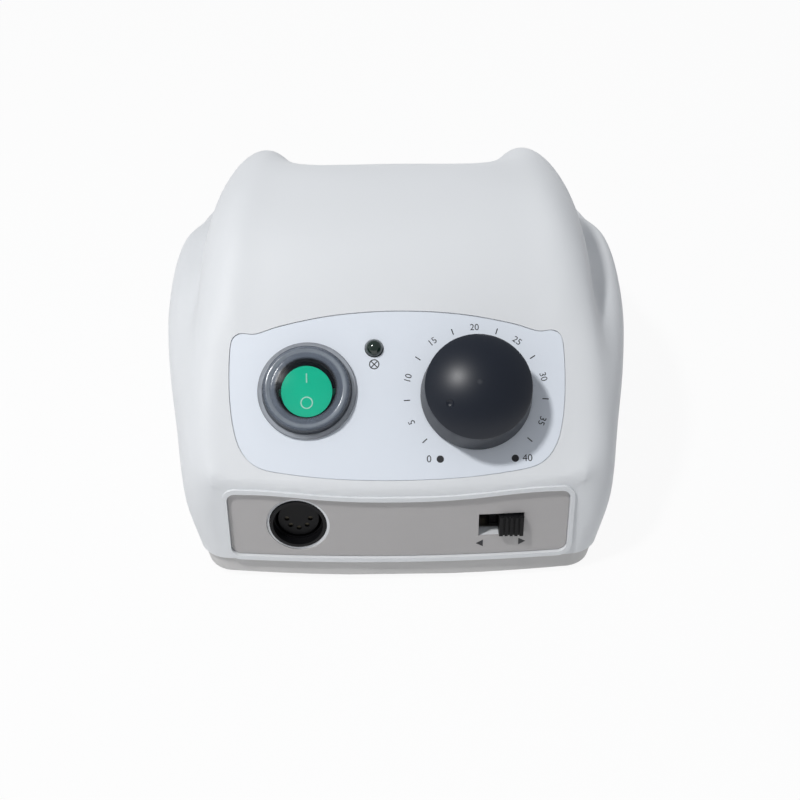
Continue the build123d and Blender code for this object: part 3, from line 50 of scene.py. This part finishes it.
MOUNT = {mount["name"]: mount for mount in frame["record"]["mounts"]}

# Places on the control face: across to the right, up the slope, out of the face
KNOB_ACROSS, KNOB_UP = 22.7 * MM, -0.3 * MM
SWITCH_ACROSS, SWITCH_UP = -26.0 * MM, 1.5 * MM
LAMP_ACROSS, LAMP_UP = -6.6 * MM, 14.0 * MM
FACE_FILM_TOP = -0.2 * MM

# Places on the front: across to the right, up the front, out of it
SOCKET_ACROSS, SOCKET_UP = -29.2 * MM, 18.8 * MM
SOCKET_MOUNT_DEPTH = 2.7 * MM
DIRECTION_ACROSS, DIRECTION_UP = 29.7 * MM, 18.1 * MM
STRIP_FILM_TOP = -0.4 * MM
FRONT_BOW_RADIUS = 520 * MM

# Rocker: its dished top, and how far it tips at rest
ROCKER_RADIUS = 7.35 * MM
ROCKER_RIM_HEIGHT = 5.0 * MM
ROCKER_DISH_RADIUS = 34.0 * MM
ROCKER_TIP = radians(8.0)

# Print: how far it stands out of its surface, and within it
PRINT_HEIGHT = 0.03 * MM
ROCKER_PRINT_HEIGHT = 0.09 * MM

# Meshes: points this close become one, and edges over this angle stay sharp
WELD = 0.002 * MM
SHARP_ANGLE = radians(32)
FLAT_ANGLE = radians(0.6)
EDGE_WIDTH = 0.12 * MM
EDGE_SEGMENTS = 2
EDGE_ANGLE = radians(40)

# Planes of the control face and the front, from the frame's joints and mounts
face_out = -Vector(JOINT["speed_turn"]["axis"]).normalized()
front_out = Vector(MOUNT["handpiece_socket"]["axis"]).normalized()


def plane_at(origin, out):
    """Matrix of a plane: X to the right, Y up the plane, Z out of it."""
    across = Vector((1, 0, 0))
    up = out.cross(across)
    turn = Matrix((across, up, out)).transposed().to_4x4()
    return Matrix.Translation(origin) @ turn


FACE = plane_at(Vector(JOINT["speed_turn"]["pos_m"]), face_out) @ Matrix.Translation(
    (-KNOB_ACROSS, -KNOB_UP, 0)
)
FRONT = plane_at(Vector(MOUNT["handpiece_socket"]["pos_m"]), front_out) @ Matrix.Translation(
    (-SOCKET_ACROSS, -SOCKET_UP, SOCKET_MOUNT_DEPTH)
)
BOOT = FACE @ Matrix.Translation((SWITCH_ACROSS, SWITCH_UP, FACE_FILM_TOP))
DIAL = FACE @ Matrix.Translation((KNOB_ACROSS, KNOB_UP, FACE_FILM_TOP))
ROCKER = plane_at(Vector(JOINT["power_rocker_tilt"]["pos_m"]), face_out) @ Matrix.Rotation(ROCKER_TIP, 4, "X")


def on_dial(turn, radius):
    """Matrix of a place on the dial: a turn from the right, and a distance from the middle."""
    return DIAL @ Matrix.Translation((radius * cos(turn), radius * sin(turn), 0))


def on_rocker(up):
    """Matrix of a place on the rocker's dished top."""
    lowest = ROCKER_RIM_HEIGHT - ROCKER_DISH_RADIUS + sqrt(ROCKER_DISH_RADIUS**2 - ROCKER_RADIUS**2)
    height = lowest + ROCKER_DISH_RADIUS - sqrt(ROCKER_DISH_RADIUS**2 - up**2)
    slope = Matrix.Rotation(asin(up / ROCKER_DISH_RADIUS), 4, "X")
    return ROCKER @ Matrix.Translation((0, up, height)) @ slope


def on_strip(across, up):
    """Matrix of a place on the bowed front label."""
    sunk = FRONT_BOW_RADIUS - sqrt(FRONT_BOW_RADIUS**2 - across**2)
    spot = Matrix.Translation((across, up, STRIP_FILM_TOP - sunk))
    return FRONT @ spot @ Matrix.Rotation(asin(across / FRONT_BOW_RADIUS), 4, "Y")


# Finishes


class Field:
    """A number that varies over a surface: a node's output that takes part in sums and products."""

    def __init__(self, finish, socket):
        self.finish = finish
        self.socket = socket

    def combined(self, operation, first, second):
        return self.finish.node("ShaderNodeMath", {"operation": operation}, {0: first, 1: second})

    def __add__(self, other):
        return self.combined("ADD", self, other)

    __radd__ = __add__

    def __mul__(self, other):
        return self.combined("MULTIPLY", self, other)

    __rmul__ = __mul__

    def __sub__(self, other):
        return self.combined("SUBTRACT", self, other)

    def __rsub__(self, other):
        return self.combined("SUBTRACT", other, self)

    def rising(self, start, end):
        """From 0 at a start value to 1 at an end value."""
        return ((self - start) * (1 / (end - start))).bounded(0.0, 1.0)

    def bounded(self, low, high):
        """The value limited to a range."""
        settings = {"clamp_type": "MINMAX"}
        return self.finish.node("ShaderNodeClamp", settings, {"Value": self, "Min": low, "Max": high})


class Finish:
    """One procedural material, built round its Principled shader."""

    def __init__(self, name):
        self.material = bpy.data.materials.new(name)
        self.material.use_nodes = True
        self.tree = self.material.node_tree
        self.shader = self.tree.nodes["Principled BSDF"]
        self.position = self.node("ShaderNodeTexCoord", output="Object")

    def node(self, kind, settings=None, inputs=None, output=0):
        """A new node of a kind, with its settings, then its inputs; gives one of its outputs."""
        made = self.tree.nodes.new(kind)
        for key, value in (settings or {}).items():
            setattr(made, key, value)
        for key, value in (inputs or {}).items():
            self.feed(made.inputs[key], value)
        return Field(self, made.outputs[output])

    def feed(self, socket, value):
        """Links a field to a socket, or writes a plain value on it."""
        if isinstance(value, Field):
            self.tree.links.new(value.socket, socket)
        else:
            socket.default_value = value

    def noise(self, size, detail=2.0, roughness=0.5, stretch=(1, 1, 1)):
        """Soft noise with features of a size in metres, from 0 to 1."""
        place = self.node("ShaderNodeMapping", None, {"Vector": self.position, "Scale": stretch})
        values = {"Vector": place, "Scale": 1 / size, "Detail": detail, "Roughness": roughness}
        return self.node("ShaderNodeTexNoise", None, values)

    def mixed(self, factor, first, second):
        """A colour between two others."""
        ends = [end if isinstance(end, Field) else (*end, 1) for end in (first, second)]
        return self.node("ShaderNodeMix", {"data_type": "RGBA"}, {0: factor, 6: ends[0], 7: ends[1]}, 2)

    def distance_from_axis(self, place):
        """Distance of a point of the surface from the Z axis of a matrix."""
        centre, axis = tuple(place.translation), tuple(place.to_3x3().col[2])
        offset = self.node("ShaderNodeVectorMath", {"operation": "SUBTRACT"}, {0: self.position, 1: centre})
        across = self.node("ShaderNodeVectorMath", {"operation": "CROSS_PRODUCT"}, {0: offset, 1: axis})
        return self.node("ShaderNodeVectorMath", {"operation": "LENGTH"}, {0: across}, "Value")

    def bump(self, height, distance):
        """Relief of a height in metres where a field is 1."""
        values = {"Strength": 1.0, "Distance": distance, "Height": height}
        self.feed(self.shader.inputs["Normal"], self.node("ShaderNodeBump", None, values))

    def set(self, **values):
        """Feeds the shader's sockets by name."""
        for key, value in values.items():
            self.feed(self.shader.inputs[key.replace("_", " ")], value)
        return self


CLOUD_SIZE = 18 * MM
METAL_CLOUD_SIZE = 6 * MM
METAL_MARK_SIZE = 0.5 * MM
METAL_MARK_HEIGHT = 0.01 * MM


def moulded(name, color, roughness, grain_size, grain_height, shade=0.93, coat=0.0, gloss=0.5):
    """Moulded plastic: slow shade changes, a fine grain and slightly uneven gloss."""
    finish = Finish(name)
    cloud = finish.noise(CLOUD_SIZE, 3.0)
    speck = finish.noise(grain_size, 2.0)
    dark = tuple(channel * shade for channel in color)
    finish.set(
        Base_Color=finish.mixed(cloud.bounded(0.3, 0.7), color, dark),
        Roughness=roughness + (cloud - 0.5) * 0.1 + (speck - 0.5) * 0.06,
        Coat_Weight=coat,
        Coat_Roughness=0.12,
        Specular_IOR_Level=gloss,
    )
    finish.bump(speck, grain_height)
    return finish


def metal(name, color, roughness, stretch=(1, 1, 1)):
    """Bare or plated metal with fine drawn marks and light tarnish."""
    finish = Finish(name)
    marks = finish.noise(METAL_MARK_SIZE, 4.0, 0.6, stretch)
    cloud = finish.noise(METAL_CLOUD_SIZE, 2.0)
    dull = tuple(channel * 0.8 for channel in color)
    finish.set(
        Base_Color=finish.mixed(cloud, color, dull),
        Metallic=1.0,
        Roughness=roughness + (marks - 0.5) * 0.15,
    )
    finish.bump(marks, METAL_MARK_HEIGHT)
    return finish


# Clear boot: the radii over which its window ends, its crest rises and falls, its fold begins, its flange
# begins and the flange's edge begins; the crest carries a painted highlight, and the fold and the flange's edge
# carry painted shade
WINDOW_END = (8.6 * MM, 9.4 * MM)
CREST_RISE = (10.3 * MM, 10.8 * MM)
CREST_FALL = (11.3 * MM, 11.9 * MM)
FOLD_START = (12.2 * MM, 12.5 * MM)
FLANGE_START = (12.9 * MM, 13.1 * MM)
EDGE_START = (13.95 * MM, 14.2 * MM)
VINYL_CLOUD_SIZE = 4 * MM
VINYL_RIPPLE_SIZE, VINYL_RIPPLE_HEIGHT = 2.2 * MM, 0.06 * MM


def clear_vinyl(name, place):
    """Clear soft vinyl: a thin window, a smoky folded rim with a painted highlight on its crest and painted shade
    on its fold, and a paler flange with painted shade at its edge, by distance from the axis.
    """
    # pale is the painted highlight on the crest; dark is the painted shade on the fold and the flange's edge
    smoky, pale = (0.17, 0.20, 0.25), (0.34, 0.38, 0.43)
    frosted, dark = (0.52, 0.55, 0.60), (0.03, 0.035, 0.045)
    finish = Finish(name)
    radius = finish.distance_from_axis(place)
    cloud = finish.noise(VINYL_CLOUD_SIZE, 2.0)
    flange = radius.rising(*FLANGE_START)
    fold = radius.rising(*FOLD_START) * (1 - flange)
    edge = radius.rising(*EDGE_START)
    crest = radius.rising(*CREST_RISE) * (1 - radius.rising(*CREST_FALL))
    # The paler band on the crest is a painted highlight
    shade = finish.mixed(flange, finish.mixed(crest, smoky, pale), frosted)
    wall = radius.rising(*WINDOW_END) * (0.56 + (cloud - 0.5) * 0.25)
    finish.set(
        # Darkening towards the fold and the flange's edge is painted shade
        Base_Color=finish.mixed((fold + edge * 0.6).bounded(0.0, 1.0), shade, dark),
        Roughness=0.14 + cloud * 0.12,
        Alpha=(0.03 + wall + fold * 0.25 - flange * 0.12 + edge * 0.3).bounded(0.0, 1.0),
        IOR=1.45,
        Specular_IOR_Level=0.6,
    )
    finish.bump(finish.noise(VINYL_RIPPLE_SIZE, 2.0), VINYL_RIPPLE_HEIGHT)
    return finish


# Moulded finishes: colour, roughness, width and height of the grain in millimetres, and what else is set
MOULDED = {
    "casing_white": ((0.77, 0.785, 0.80), 0.52, 0.45, 0.004, {"shade": 0.985}),
    # The tray's greyer tone is partly its own grey and partly painted shade under the cover
    "tray_grey": ((0.60, 0.59, 0.58), 0.5, 0.45, 0.004, {"shade": 0.985}),
    "foot_rubber": ((0.03, 0.03, 0.03), 0.75, 0.3, 0.02, {}),
    "face_film": ((0.78, 0.825, 0.89), 0.4, 0.35, 0.004, {"shade": 0.98}),
    "strip_film": ((0.47, 0.455, 0.45), 0.36, 0.3, 0.004, {"shade": 0.95}),
    "black_plastic": ((0.006, 0.006, 0.007), 0.38, 0.35, 0.008, {"shade": 0.8, "gloss": 0.18}),
    "socket_metal": ((0.006, 0.006, 0.007), 0.4, 0.35, 0.006, {"shade": 0.8, "gloss": 0.2}),
    "rocker_green": ((0.0, 0.62, 0.36), 0.45, 1.5, 0.006, {"shade": 0.85, "gloss": 0.15}),
    "lamp_dark_green": ((0.006, 0.022, 0.014), 0.12, 1.0, 0.002, {"shade": 0.7, "coat": 0.6}),
    "knob_navy": ((0.006, 0.010, 0.020), 0.4, 0.25, 0.004, {"shade": 0.85, "gloss": 0.45}),
    "print_black": ((0.02, 0.02, 0.024), 0.45, 0.3, 0.003, {"shade": 0.8}),
    "print_white": ((0.42, 0.80, 0.66), 0.4, 0.3, 0.003, {}),
    "phenolic_brown": ((0.16, 0.07, 0.03), 0.5, 0.5, 0.01, {}),
    "board_green": ((0.015, 0.1, 0.04), 0.35, 0.6, 0.005, {}),
    "capacitor_sleeve": ((0.01, 0.012, 0.03), 0.3, 0.6, 0.005, {}),
    "relay_blue": ((0.015, 0.07, 0.3), 0.3, 0.6, 0.005, {}),
    "header_white": ((0.7, 0.68, 0.6), 0.45, 0.6, 0.005, {}),
    "resistor_beige": ((0.45, 0.3, 0.16), 0.35, 0.6, 0.005, {}),
    "coil_tape": ((0.55, 0.36, 0.05), 0.35, 2.0, 0.03, {}),
    "fuse_glass": ((0.55, 0.58, 0.56), 0.08, 1.0, 0.002, {}),
}
# Metals: colour, roughness, and the stretch of their drawn marks
METALS = {
    "bright_steel": ((0.62, 0.62, 0.63), 0.32, (1, 1, 1)),
    # The contacts' dark brass is painted shade deep in the handpiece socket
    "brass_in_painted_shade": ((0.10, 0.09, 0.07), 0.5, (1, 1, 1)),
    "contact_metal": ((0.78, 0.66, 0.42), 0.3, (1, 1, 1)),
    "aluminium": ((0.8, 0.8, 0.81), 0.35, (1, 1, 1)),
    "core_steel": ((0.2, 0.2, 0.21), 0.5, (1, 12, 1)),
}
FINISHES = {"boot_clear": clear_vinyl("boot_clear", BOOT)}
for name, (color, roughness, grain_size, grain_height, more) in MOULDED.items():
    FINISHES[name] = moulded(name, color, roughness, grain_size * MM, grain_height * MM, **more)
for name, (color, roughness, stretch) in METALS.items():
    FINISHES[name] = metal(name, color, roughness, stretch)

# The handpiece socket's contacts get a dark brass that is painted shade deep in the socket, and the tray is a
# little greyer than the cover, partly its own grey and partly painted shade under the cover
NODE_FINISH = {**NODE_SLOT, "handpiece_socket_contacts": "brass_in_painted_shade", "base_tray": "tray_grey"}
for node, piece in frame["nodes"].items():
    piece.data.materials.clear()
    piece.data.materials.append(FINISHES[NODE_FINISH[node]].material)

# Making pieces


def finish_piece(name, bm, finish, body, node=None):
    """Makes a bmesh a smooth piece that rides on a body, and replaces a node where one is given."""
    for face in bm.faces:
        face.smooth = True
    for edge in bm.edges:
        edge.smooth = len(edge.link_faces) == 2 and edge.calc_face_angle(0) < SHARP_ANGLE
    mesh = bpy.data.meshes.new(name)
    bm.to_mesh(mesh)
    bm.free()
    piece = bpy.data.objects.new(name, mesh)
    bpy.context.scene.collection.objects.link(piece)
    mesh.materials.append(FINISHES[finish].material)
    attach(piece, body)
    if node:
        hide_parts(node)
    return piece


def dressed_node(node, edge_width=0.0):
    """A finished copy of a CAD node: its loose triangles joined, and its edges softened by a width."""
    bm = bmesh.new()
    bm.from_mesh(frame["nodes"][node].data)
    bmesh.ops.remove_doubles(bm, verts=bm.verts, dist=WELD)
    if edge_width:
        bmesh.ops.dissolve_limit(bm, angle_limit=FLAT_ANGLE, verts=bm.verts, edges=bm.edges)
    piece = finish_piece(f"{node}_finished", bm, NODE_FINISH[node], NODE_BODY[node], node)
    if edge_width:
        modifier = piece.modifiers.new("edges", "BEVEL")
        modifier.width = edge_width
        modifier.segments = EDGE_SEGMENTS
        modifier.limit_method = "ANGLE"
        modifier.angle_limit = EDGE_ANGLE


def spun(profile, place, steps=96):
    """A turned shape: a profile of radius and height about a matrix's Z axis."""
    bm = bmesh.new()
    verts = [bm.verts.new((radius, 0, height)) for radius, height in profile]
    edges = [bm.edges.new(pair) for pair in zip(verts, verts[1:])]
    bmesh.ops.spin(
        bm, geom=verts + edges, cent=(0, 0, 0), axis=(0, 0, 1), dvec=(0, 0, 0), angle=2 * pi, steps=steps,
        use_merge=True, use_duplicate=False,
    )
    bmesh.ops.remove_doubles(bm, verts=bm.verts, dist=WELD / 2)
    bmesh.ops.recalc_face_normals(bm, faces=bm.faces)
    bmesh.ops.transform(bm, matrix=place, verts=bm.verts)
    return bm


def lettering(text, size, place, name):
    """Printed characters on the case as a thin raised mesh."""
    curve = bpy.data.curves.new(name, "FONT")
    curve.body = text
    curve.size = size
    curve.align_x = "CENTER"
    curve.align_y = "CENTER"
    curve.extrude = PRINT_HEIGHT
    curve.resolution_u = 6
    source = bpy.data.objects.new(name + "_outline", curve)
    mesh = bpy.data.meshes.new_from_object(source)
    bpy.data.objects.remove(source)
    bm = bmesh.new()
    bm.from_mesh(mesh)
    bmesh.ops.remove_doubles(bm, verts=bm.verts, dist=WELD)
    bmesh.ops.transform(bm, matrix=place, verts=bm.verts)
    finish_piece(name, bm, "print_black", "case")


def disc(radius, height, place, steps=32, inner=0.0):
    """A printed dot, or a ring where an inner radius is given."""
    if inner:
        outline = [(inner, -height), (radius, -height), (radius, height), (inner, height), (inner, -height)]
    else:
        outline = [(0, -height), (radius, -height), (radius, height), (0, height)]
    return spun(outline, place, steps)


def bar(across, up, height, place):
    """A printed stroke."""
    bm = bmesh.new()
    bmesh.ops.create_cube(bm, size=1.0)
    bmesh.ops.scale(bm, vec=(across, up, 2 * height), verts=bm.verts)
    bmesh.ops.transform(bm, matrix=place, verts=bm.verts)
    return bm


def joined(shapes):
    """Several bmeshes as one."""
    whole = bmesh.new()
    for shape in shapes:
        mesh = bpy.data.meshes.new("joining")
        shape.to_mesh(mesh)
        shape.free()
        whole.from_mesh(mesh)
        bpy.data.meshes.remove(mesh)
    return whole


# Cover, tray and what shows in them keep their solids' shape and get a smooth finish
for node in (
    "upper_cover", "base_tray", "face_label", "front_label", "rubber_feet", "case_screws", "switch_housing",
    "pilot_lamp", "pilot_lamp_clip", "handpiece_socket_sleeve", "handpiece_socket_core",
    "handpiece_socket_contacts", "power_inlet_pins", "fuse_link", "pedal_jack_body", "pot_shaft", "pot_body",
):
    dressed_node(node)
for node in (
    "direction_switch_slider", "control_switch_slider", "power_inlet_housing", "fuse_holder_body",
    "fuse_cap", "pedal_jack_nut", "power_inlet_screws",
):
    dressed_node(node, EDGE_WIDTH)
for node in ("speed_knob", "switch_rocker"):
    dressed_node(node)

# Clear boot over the rocker, as radius and height in millimetres: up the thick outer flange, over the folded
# rim to the middle of the thin window, and back along the inside
BOOT_PROFILE = [
    (11.75, 0.0), (14.1, 0.0), (14.3, 0.25), (14.3, 0.8), (14.1, 1.0), (13.2, 1.05), (12.95, 1.25),
    (12.8, 1.8), (12.65, 3.4), (12.45, 4.0), (12.0, 4.3), (11.3, 4.35), (10.9, 4.1), (10.4, 3.95),
    (9.7, 4.1), (9.2, 4.35), (8.4, 4.5), (6.0, 4.85), (3.0, 5.15), (0.0, 5.25),
    (0.0, 4.75), (3.0, 4.65), (6.0, 4.35), (8.4, 4.0), (9.4, 3.75), (11.2, 3.7), (11.75, 3.3), (11.75, 0.0),
]
boot = spun([(radius * MM, height * MM) for radius, height in BOOT_PROFILE], BOOT)
finish_piece("clear_rocker_boot", boot, "boot_clear", "case", "switch_boot")

# Marks on the rocker: a stroke on the upper half, a ring on the lower
ON_MARK_SIZE, ON_MARK_UP = (0.36 * MM, 2.7 * MM), 3.9 * MM
OFF_MARK_RADIUS, OFF_MARK_INNER, OFF_MARK_UP = 1.8 * MM, 1.46 * MM, -3.2 * MM
stroke = bar(*ON_MARK_SIZE, ROCKER_PRINT_HEIGHT, on_rocker(ON_MARK_UP))
finish_piece("rocker_on_mark", stroke, "print_white", "power_rocker")
ring = disc(OFF_MARK_RADIUS, ROCKER_PRINT_HEIGHT, on_rocker(OFF_MARK_UP), 40, OFF_MARK_INNER)
finish_piece("rocker_off_mark", ring, "print_white", "power_rocker")

# Dial marks round the knob: the two end dots, their numbers, and plain numbers and ticks between them
LOW_TURN, HIGH_TURN = radians(240), radians(-60)
DIAL_STEPS = 8
STEP_TURN = (LOW_TURN - HIGH_TURN) / DIAL_STEPS
STEP_SPEED = 5
DOT_RING, DOT_RADIUS = 21.4 * MM, 1.05 * MM
END_NUMBER_SIZE = 2.9 * MM
LOW_NUMBER_SHIFT, HIGH_NUMBER_SHIFT = -3.2 * MM, 3.5 * MM
NUMBER_RING, NUMBER_SIZE = 20.2 * MM, 2.7 * MM
TICK_RING, TICK_SIZE = 20.0 * MM, (1.8 * MM, 0.3 * MM)

dots = [disc(DOT_RADIUS, PRINT_HEIGHT, on_dial(turn, DOT_RING)) for turn in (LOW_TURN, HIGH_TURN)]
finish_piece("dial_end_dots", joined(dots), "print_black", "case")
for number, turn, shift in (
    (0, LOW_TURN, LOW_NUMBER_SHIFT), (DIAL_STEPS * STEP_SPEED, HIGH_TURN, HIGH_NUMBER_SHIFT)
):
    place = on_dial(turn, DOT_RING) @ Matrix.Translation((shift, 0, 0))
    lettering(str(number), END_NUMBER_SIZE, place, f"dial_number_{number}")
for step in range(1, DIAL_STEPS):
    number, turn = STEP_SPEED * step, LOW_TURN - STEP_TURN * step
    place = on_dial(turn, NUMBER_RING) @ Matrix.Rotation(turn - pi / 2, 4, "Z")
    lettering(str(number), NUMBER_SIZE, place, f"dial_number_{number}")
ticks = []
for step in range(DIAL_STEPS):
    turn = LOW_TURN - STEP_TURN * (step + 0.5)
    place = on_dial(turn, TICK_RING) @ Matrix.Rotation(turn, 4, "Z")
    ticks.append(bar(*TICK_SIZE, PRINT_HEIGHT, place))
finish_piece("dial_ticks", joined(ticks), "print_black", "case")

# Lamp mark under the pilot lamp: a ring with a cross in it
LAMP_MARK_DROP = 4.8 * MM
LAMP_RING_RADIUS, LAMP_RING_INNER = 1.5 * MM, 1.2 * MM
LAMP_CROSS_SIZE = (2.6 * MM, 0.28 * MM)
LAMP_MARK = FACE @ Matrix.Translation((LAMP_ACROSS, LAMP_UP - LAMP_MARK_DROP, FACE_FILM_TOP))
lamp_mark = [disc(LAMP_RING_RADIUS, PRINT_HEIGHT, LAMP_MARK, 36, LAMP_RING_INNER)]
for turn in (pi / 4, -pi / 4):
    lamp_mark.append(bar(*LAMP_CROSS_SIZE, PRINT_HEIGHT, LAMP_MARK @ Matrix.Rotation(turn, 4, "Z")))
finish_piece("lamp_mark", joined(lamp_mark), "print_black", "case")

# Direction arrows under the slide switch
ARROW_REACH, ARROW_DROP = 5.9 * MM, 6.6 * MM
ARROW_RADIUS = 1.4 * MM
arrows = []
for side in (-1, 1):
    arrow = bmesh.new()
    bmesh.ops.create_cone(
        arrow, cap_ends=True, segments=3, radius1=ARROW_RADIUS, radius2=ARROW_RADIUS, depth=2 * PRINT_HEIGHT,
    )
    bmesh.ops.rotate(arrow, cent=(0, 0, 0), matrix=Matrix.Rotation(-side * pi / 2, 3, "Z"), verts=arrow.verts)
    place = on_strip(DIRECTION_ACROSS + side * ARROW_REACH, DIRECTION_UP - ARROW_DROP)
    bmesh.ops.transform(arrow, matrix=place, verts=arrow.verts)
    arrows.append(arrow)
finish_piece("direction_arrows", joined(arrows), "print_black", "case")

# Camera, from the photograph's framing
CAMERA_ELEVATION = radians(36.0)
CAMERA_TURN = radians(-0.4)
CAMERA_ROLL = radians(-0.45)
CAMERA_DISTANCE = 380 * MM
CAMERA_LENS, CAMERA_SENSOR = 56.25, 36.0
CAMERA_TARGET = Vector((0.85, -44.1, 39.0)) * MM

camera_data = bpy.data.cameras.new("camera")
camera_data.lens = CAMERA_LENS
camera_data.sensor_width = CAMERA_SENSOR
camera = bpy.data.objects.new("camera", camera_data)
bpy.context.scene.collection.objects.link(camera)
sight = Vector((
    sin(CAMERA_TURN) * cos(CAMERA_ELEVATION), -cos(CAMERA_TURN) * cos(CAMERA_ELEVATION), sin(CAMERA_ELEVATION)
))
camera.location = CAMERA_TARGET + CAMERA_DISTANCE * sight
camera.rotation_euler = (sight.to_track_quat("Z", "Y") @ Quaternion((0, 0, 1), CAMERA_ROLL)).to_euler()
bpy.context.scene.camera = camera

# Floor: seen nearly white, with the shadow, while its light on the object stays that of a pale floor
FLOOR_SIZE = 40.0
FLOOR_SEEN = 0.93
floor_mesh = bpy.data.meshes.new("floor")
floor_bm = bmesh.new()
bmesh.ops.create_grid(floor_bm, x_segments=1, y_segments=1, size=FLOOR_SIZE)
floor_bm.to_mesh(floor_mesh)
floor_bm.free()
floor = bpy.data.objects.new("floor", floor_mesh)
bpy.context.scene.collection.objects.link(floor)
pale = Finish("floor_pale")
pale.set(Base_Color=(0.8, 0.8, 0.8, 1), Roughness=0.9, Specular_IOR_Level=0.1)
camera_ray, glossy_ray, transmission_ray = (
    pale.node("ShaderNodeLightPath", output=f"Is {ray} Ray") for ray in ("Camera", "Glossy", "Transmission")
)
seen = (camera_ray + glossy_ray + transmission_ray).bounded(0.0, 1.0)
white = pale.node("ShaderNodeEmission", None, {"Color": (1, 1, 1, 1), "Strength": 1.0})
shown = pale.node("ShaderNodeMixShader", None, {
    0: seen * FLOOR_SEEN, 1: Field(pale, pale.shader.outputs[0]), 2: white,
})
pale.feed(pale.tree.nodes["Material Output"].inputs["Surface"], shown)
floor_mesh.materials.append(pale.material)

# Lamps: place, width and power
LAMPS = {
    "key": ((-0.46, -0.37, 0.99), 0.12, 7.1),
    "left_fill": ((-1.1, -0.4, 0.5), 1.0, 0.5),
    "rear_fill": ((0.3, 1.2, 0.12), 1.0, 2.0),
}
LAMPS_AIM = Vector((0, 0, 0.03))
for name, (place, width, power) in LAMPS.items():
    lamp_data = bpy.data.lights.new(name, "AREA")
    lamp_data.shape = "DISK"
    lamp_data.size = width
    lamp_data.energy = power
    lamp = bpy.data.objects.new(name, lamp_data)
    lamp.location = place
    lamp.rotation_euler = (Vector(place) - LAMPS_AIM).to_track_quat("Z", "Y").to_euler()
    bpy.context.scene.collection.objects.link(lamp)

# Surroundings
SKY_COLOR, SKY_STRENGTH = (0.92, 0.95, 1.0, 1), 0.38
world = bpy.data.worlds.new("studio")
bpy.context.scene.world = world
world.use_nodes = True
background = world.node_tree.nodes["Background"]
background.inputs["Color"].default_value = SKY_COLOR
background.inputs["Strength"].default_value = SKY_STRENGTH
bpy.context.scene.view_settings.view_transform = "Standard"
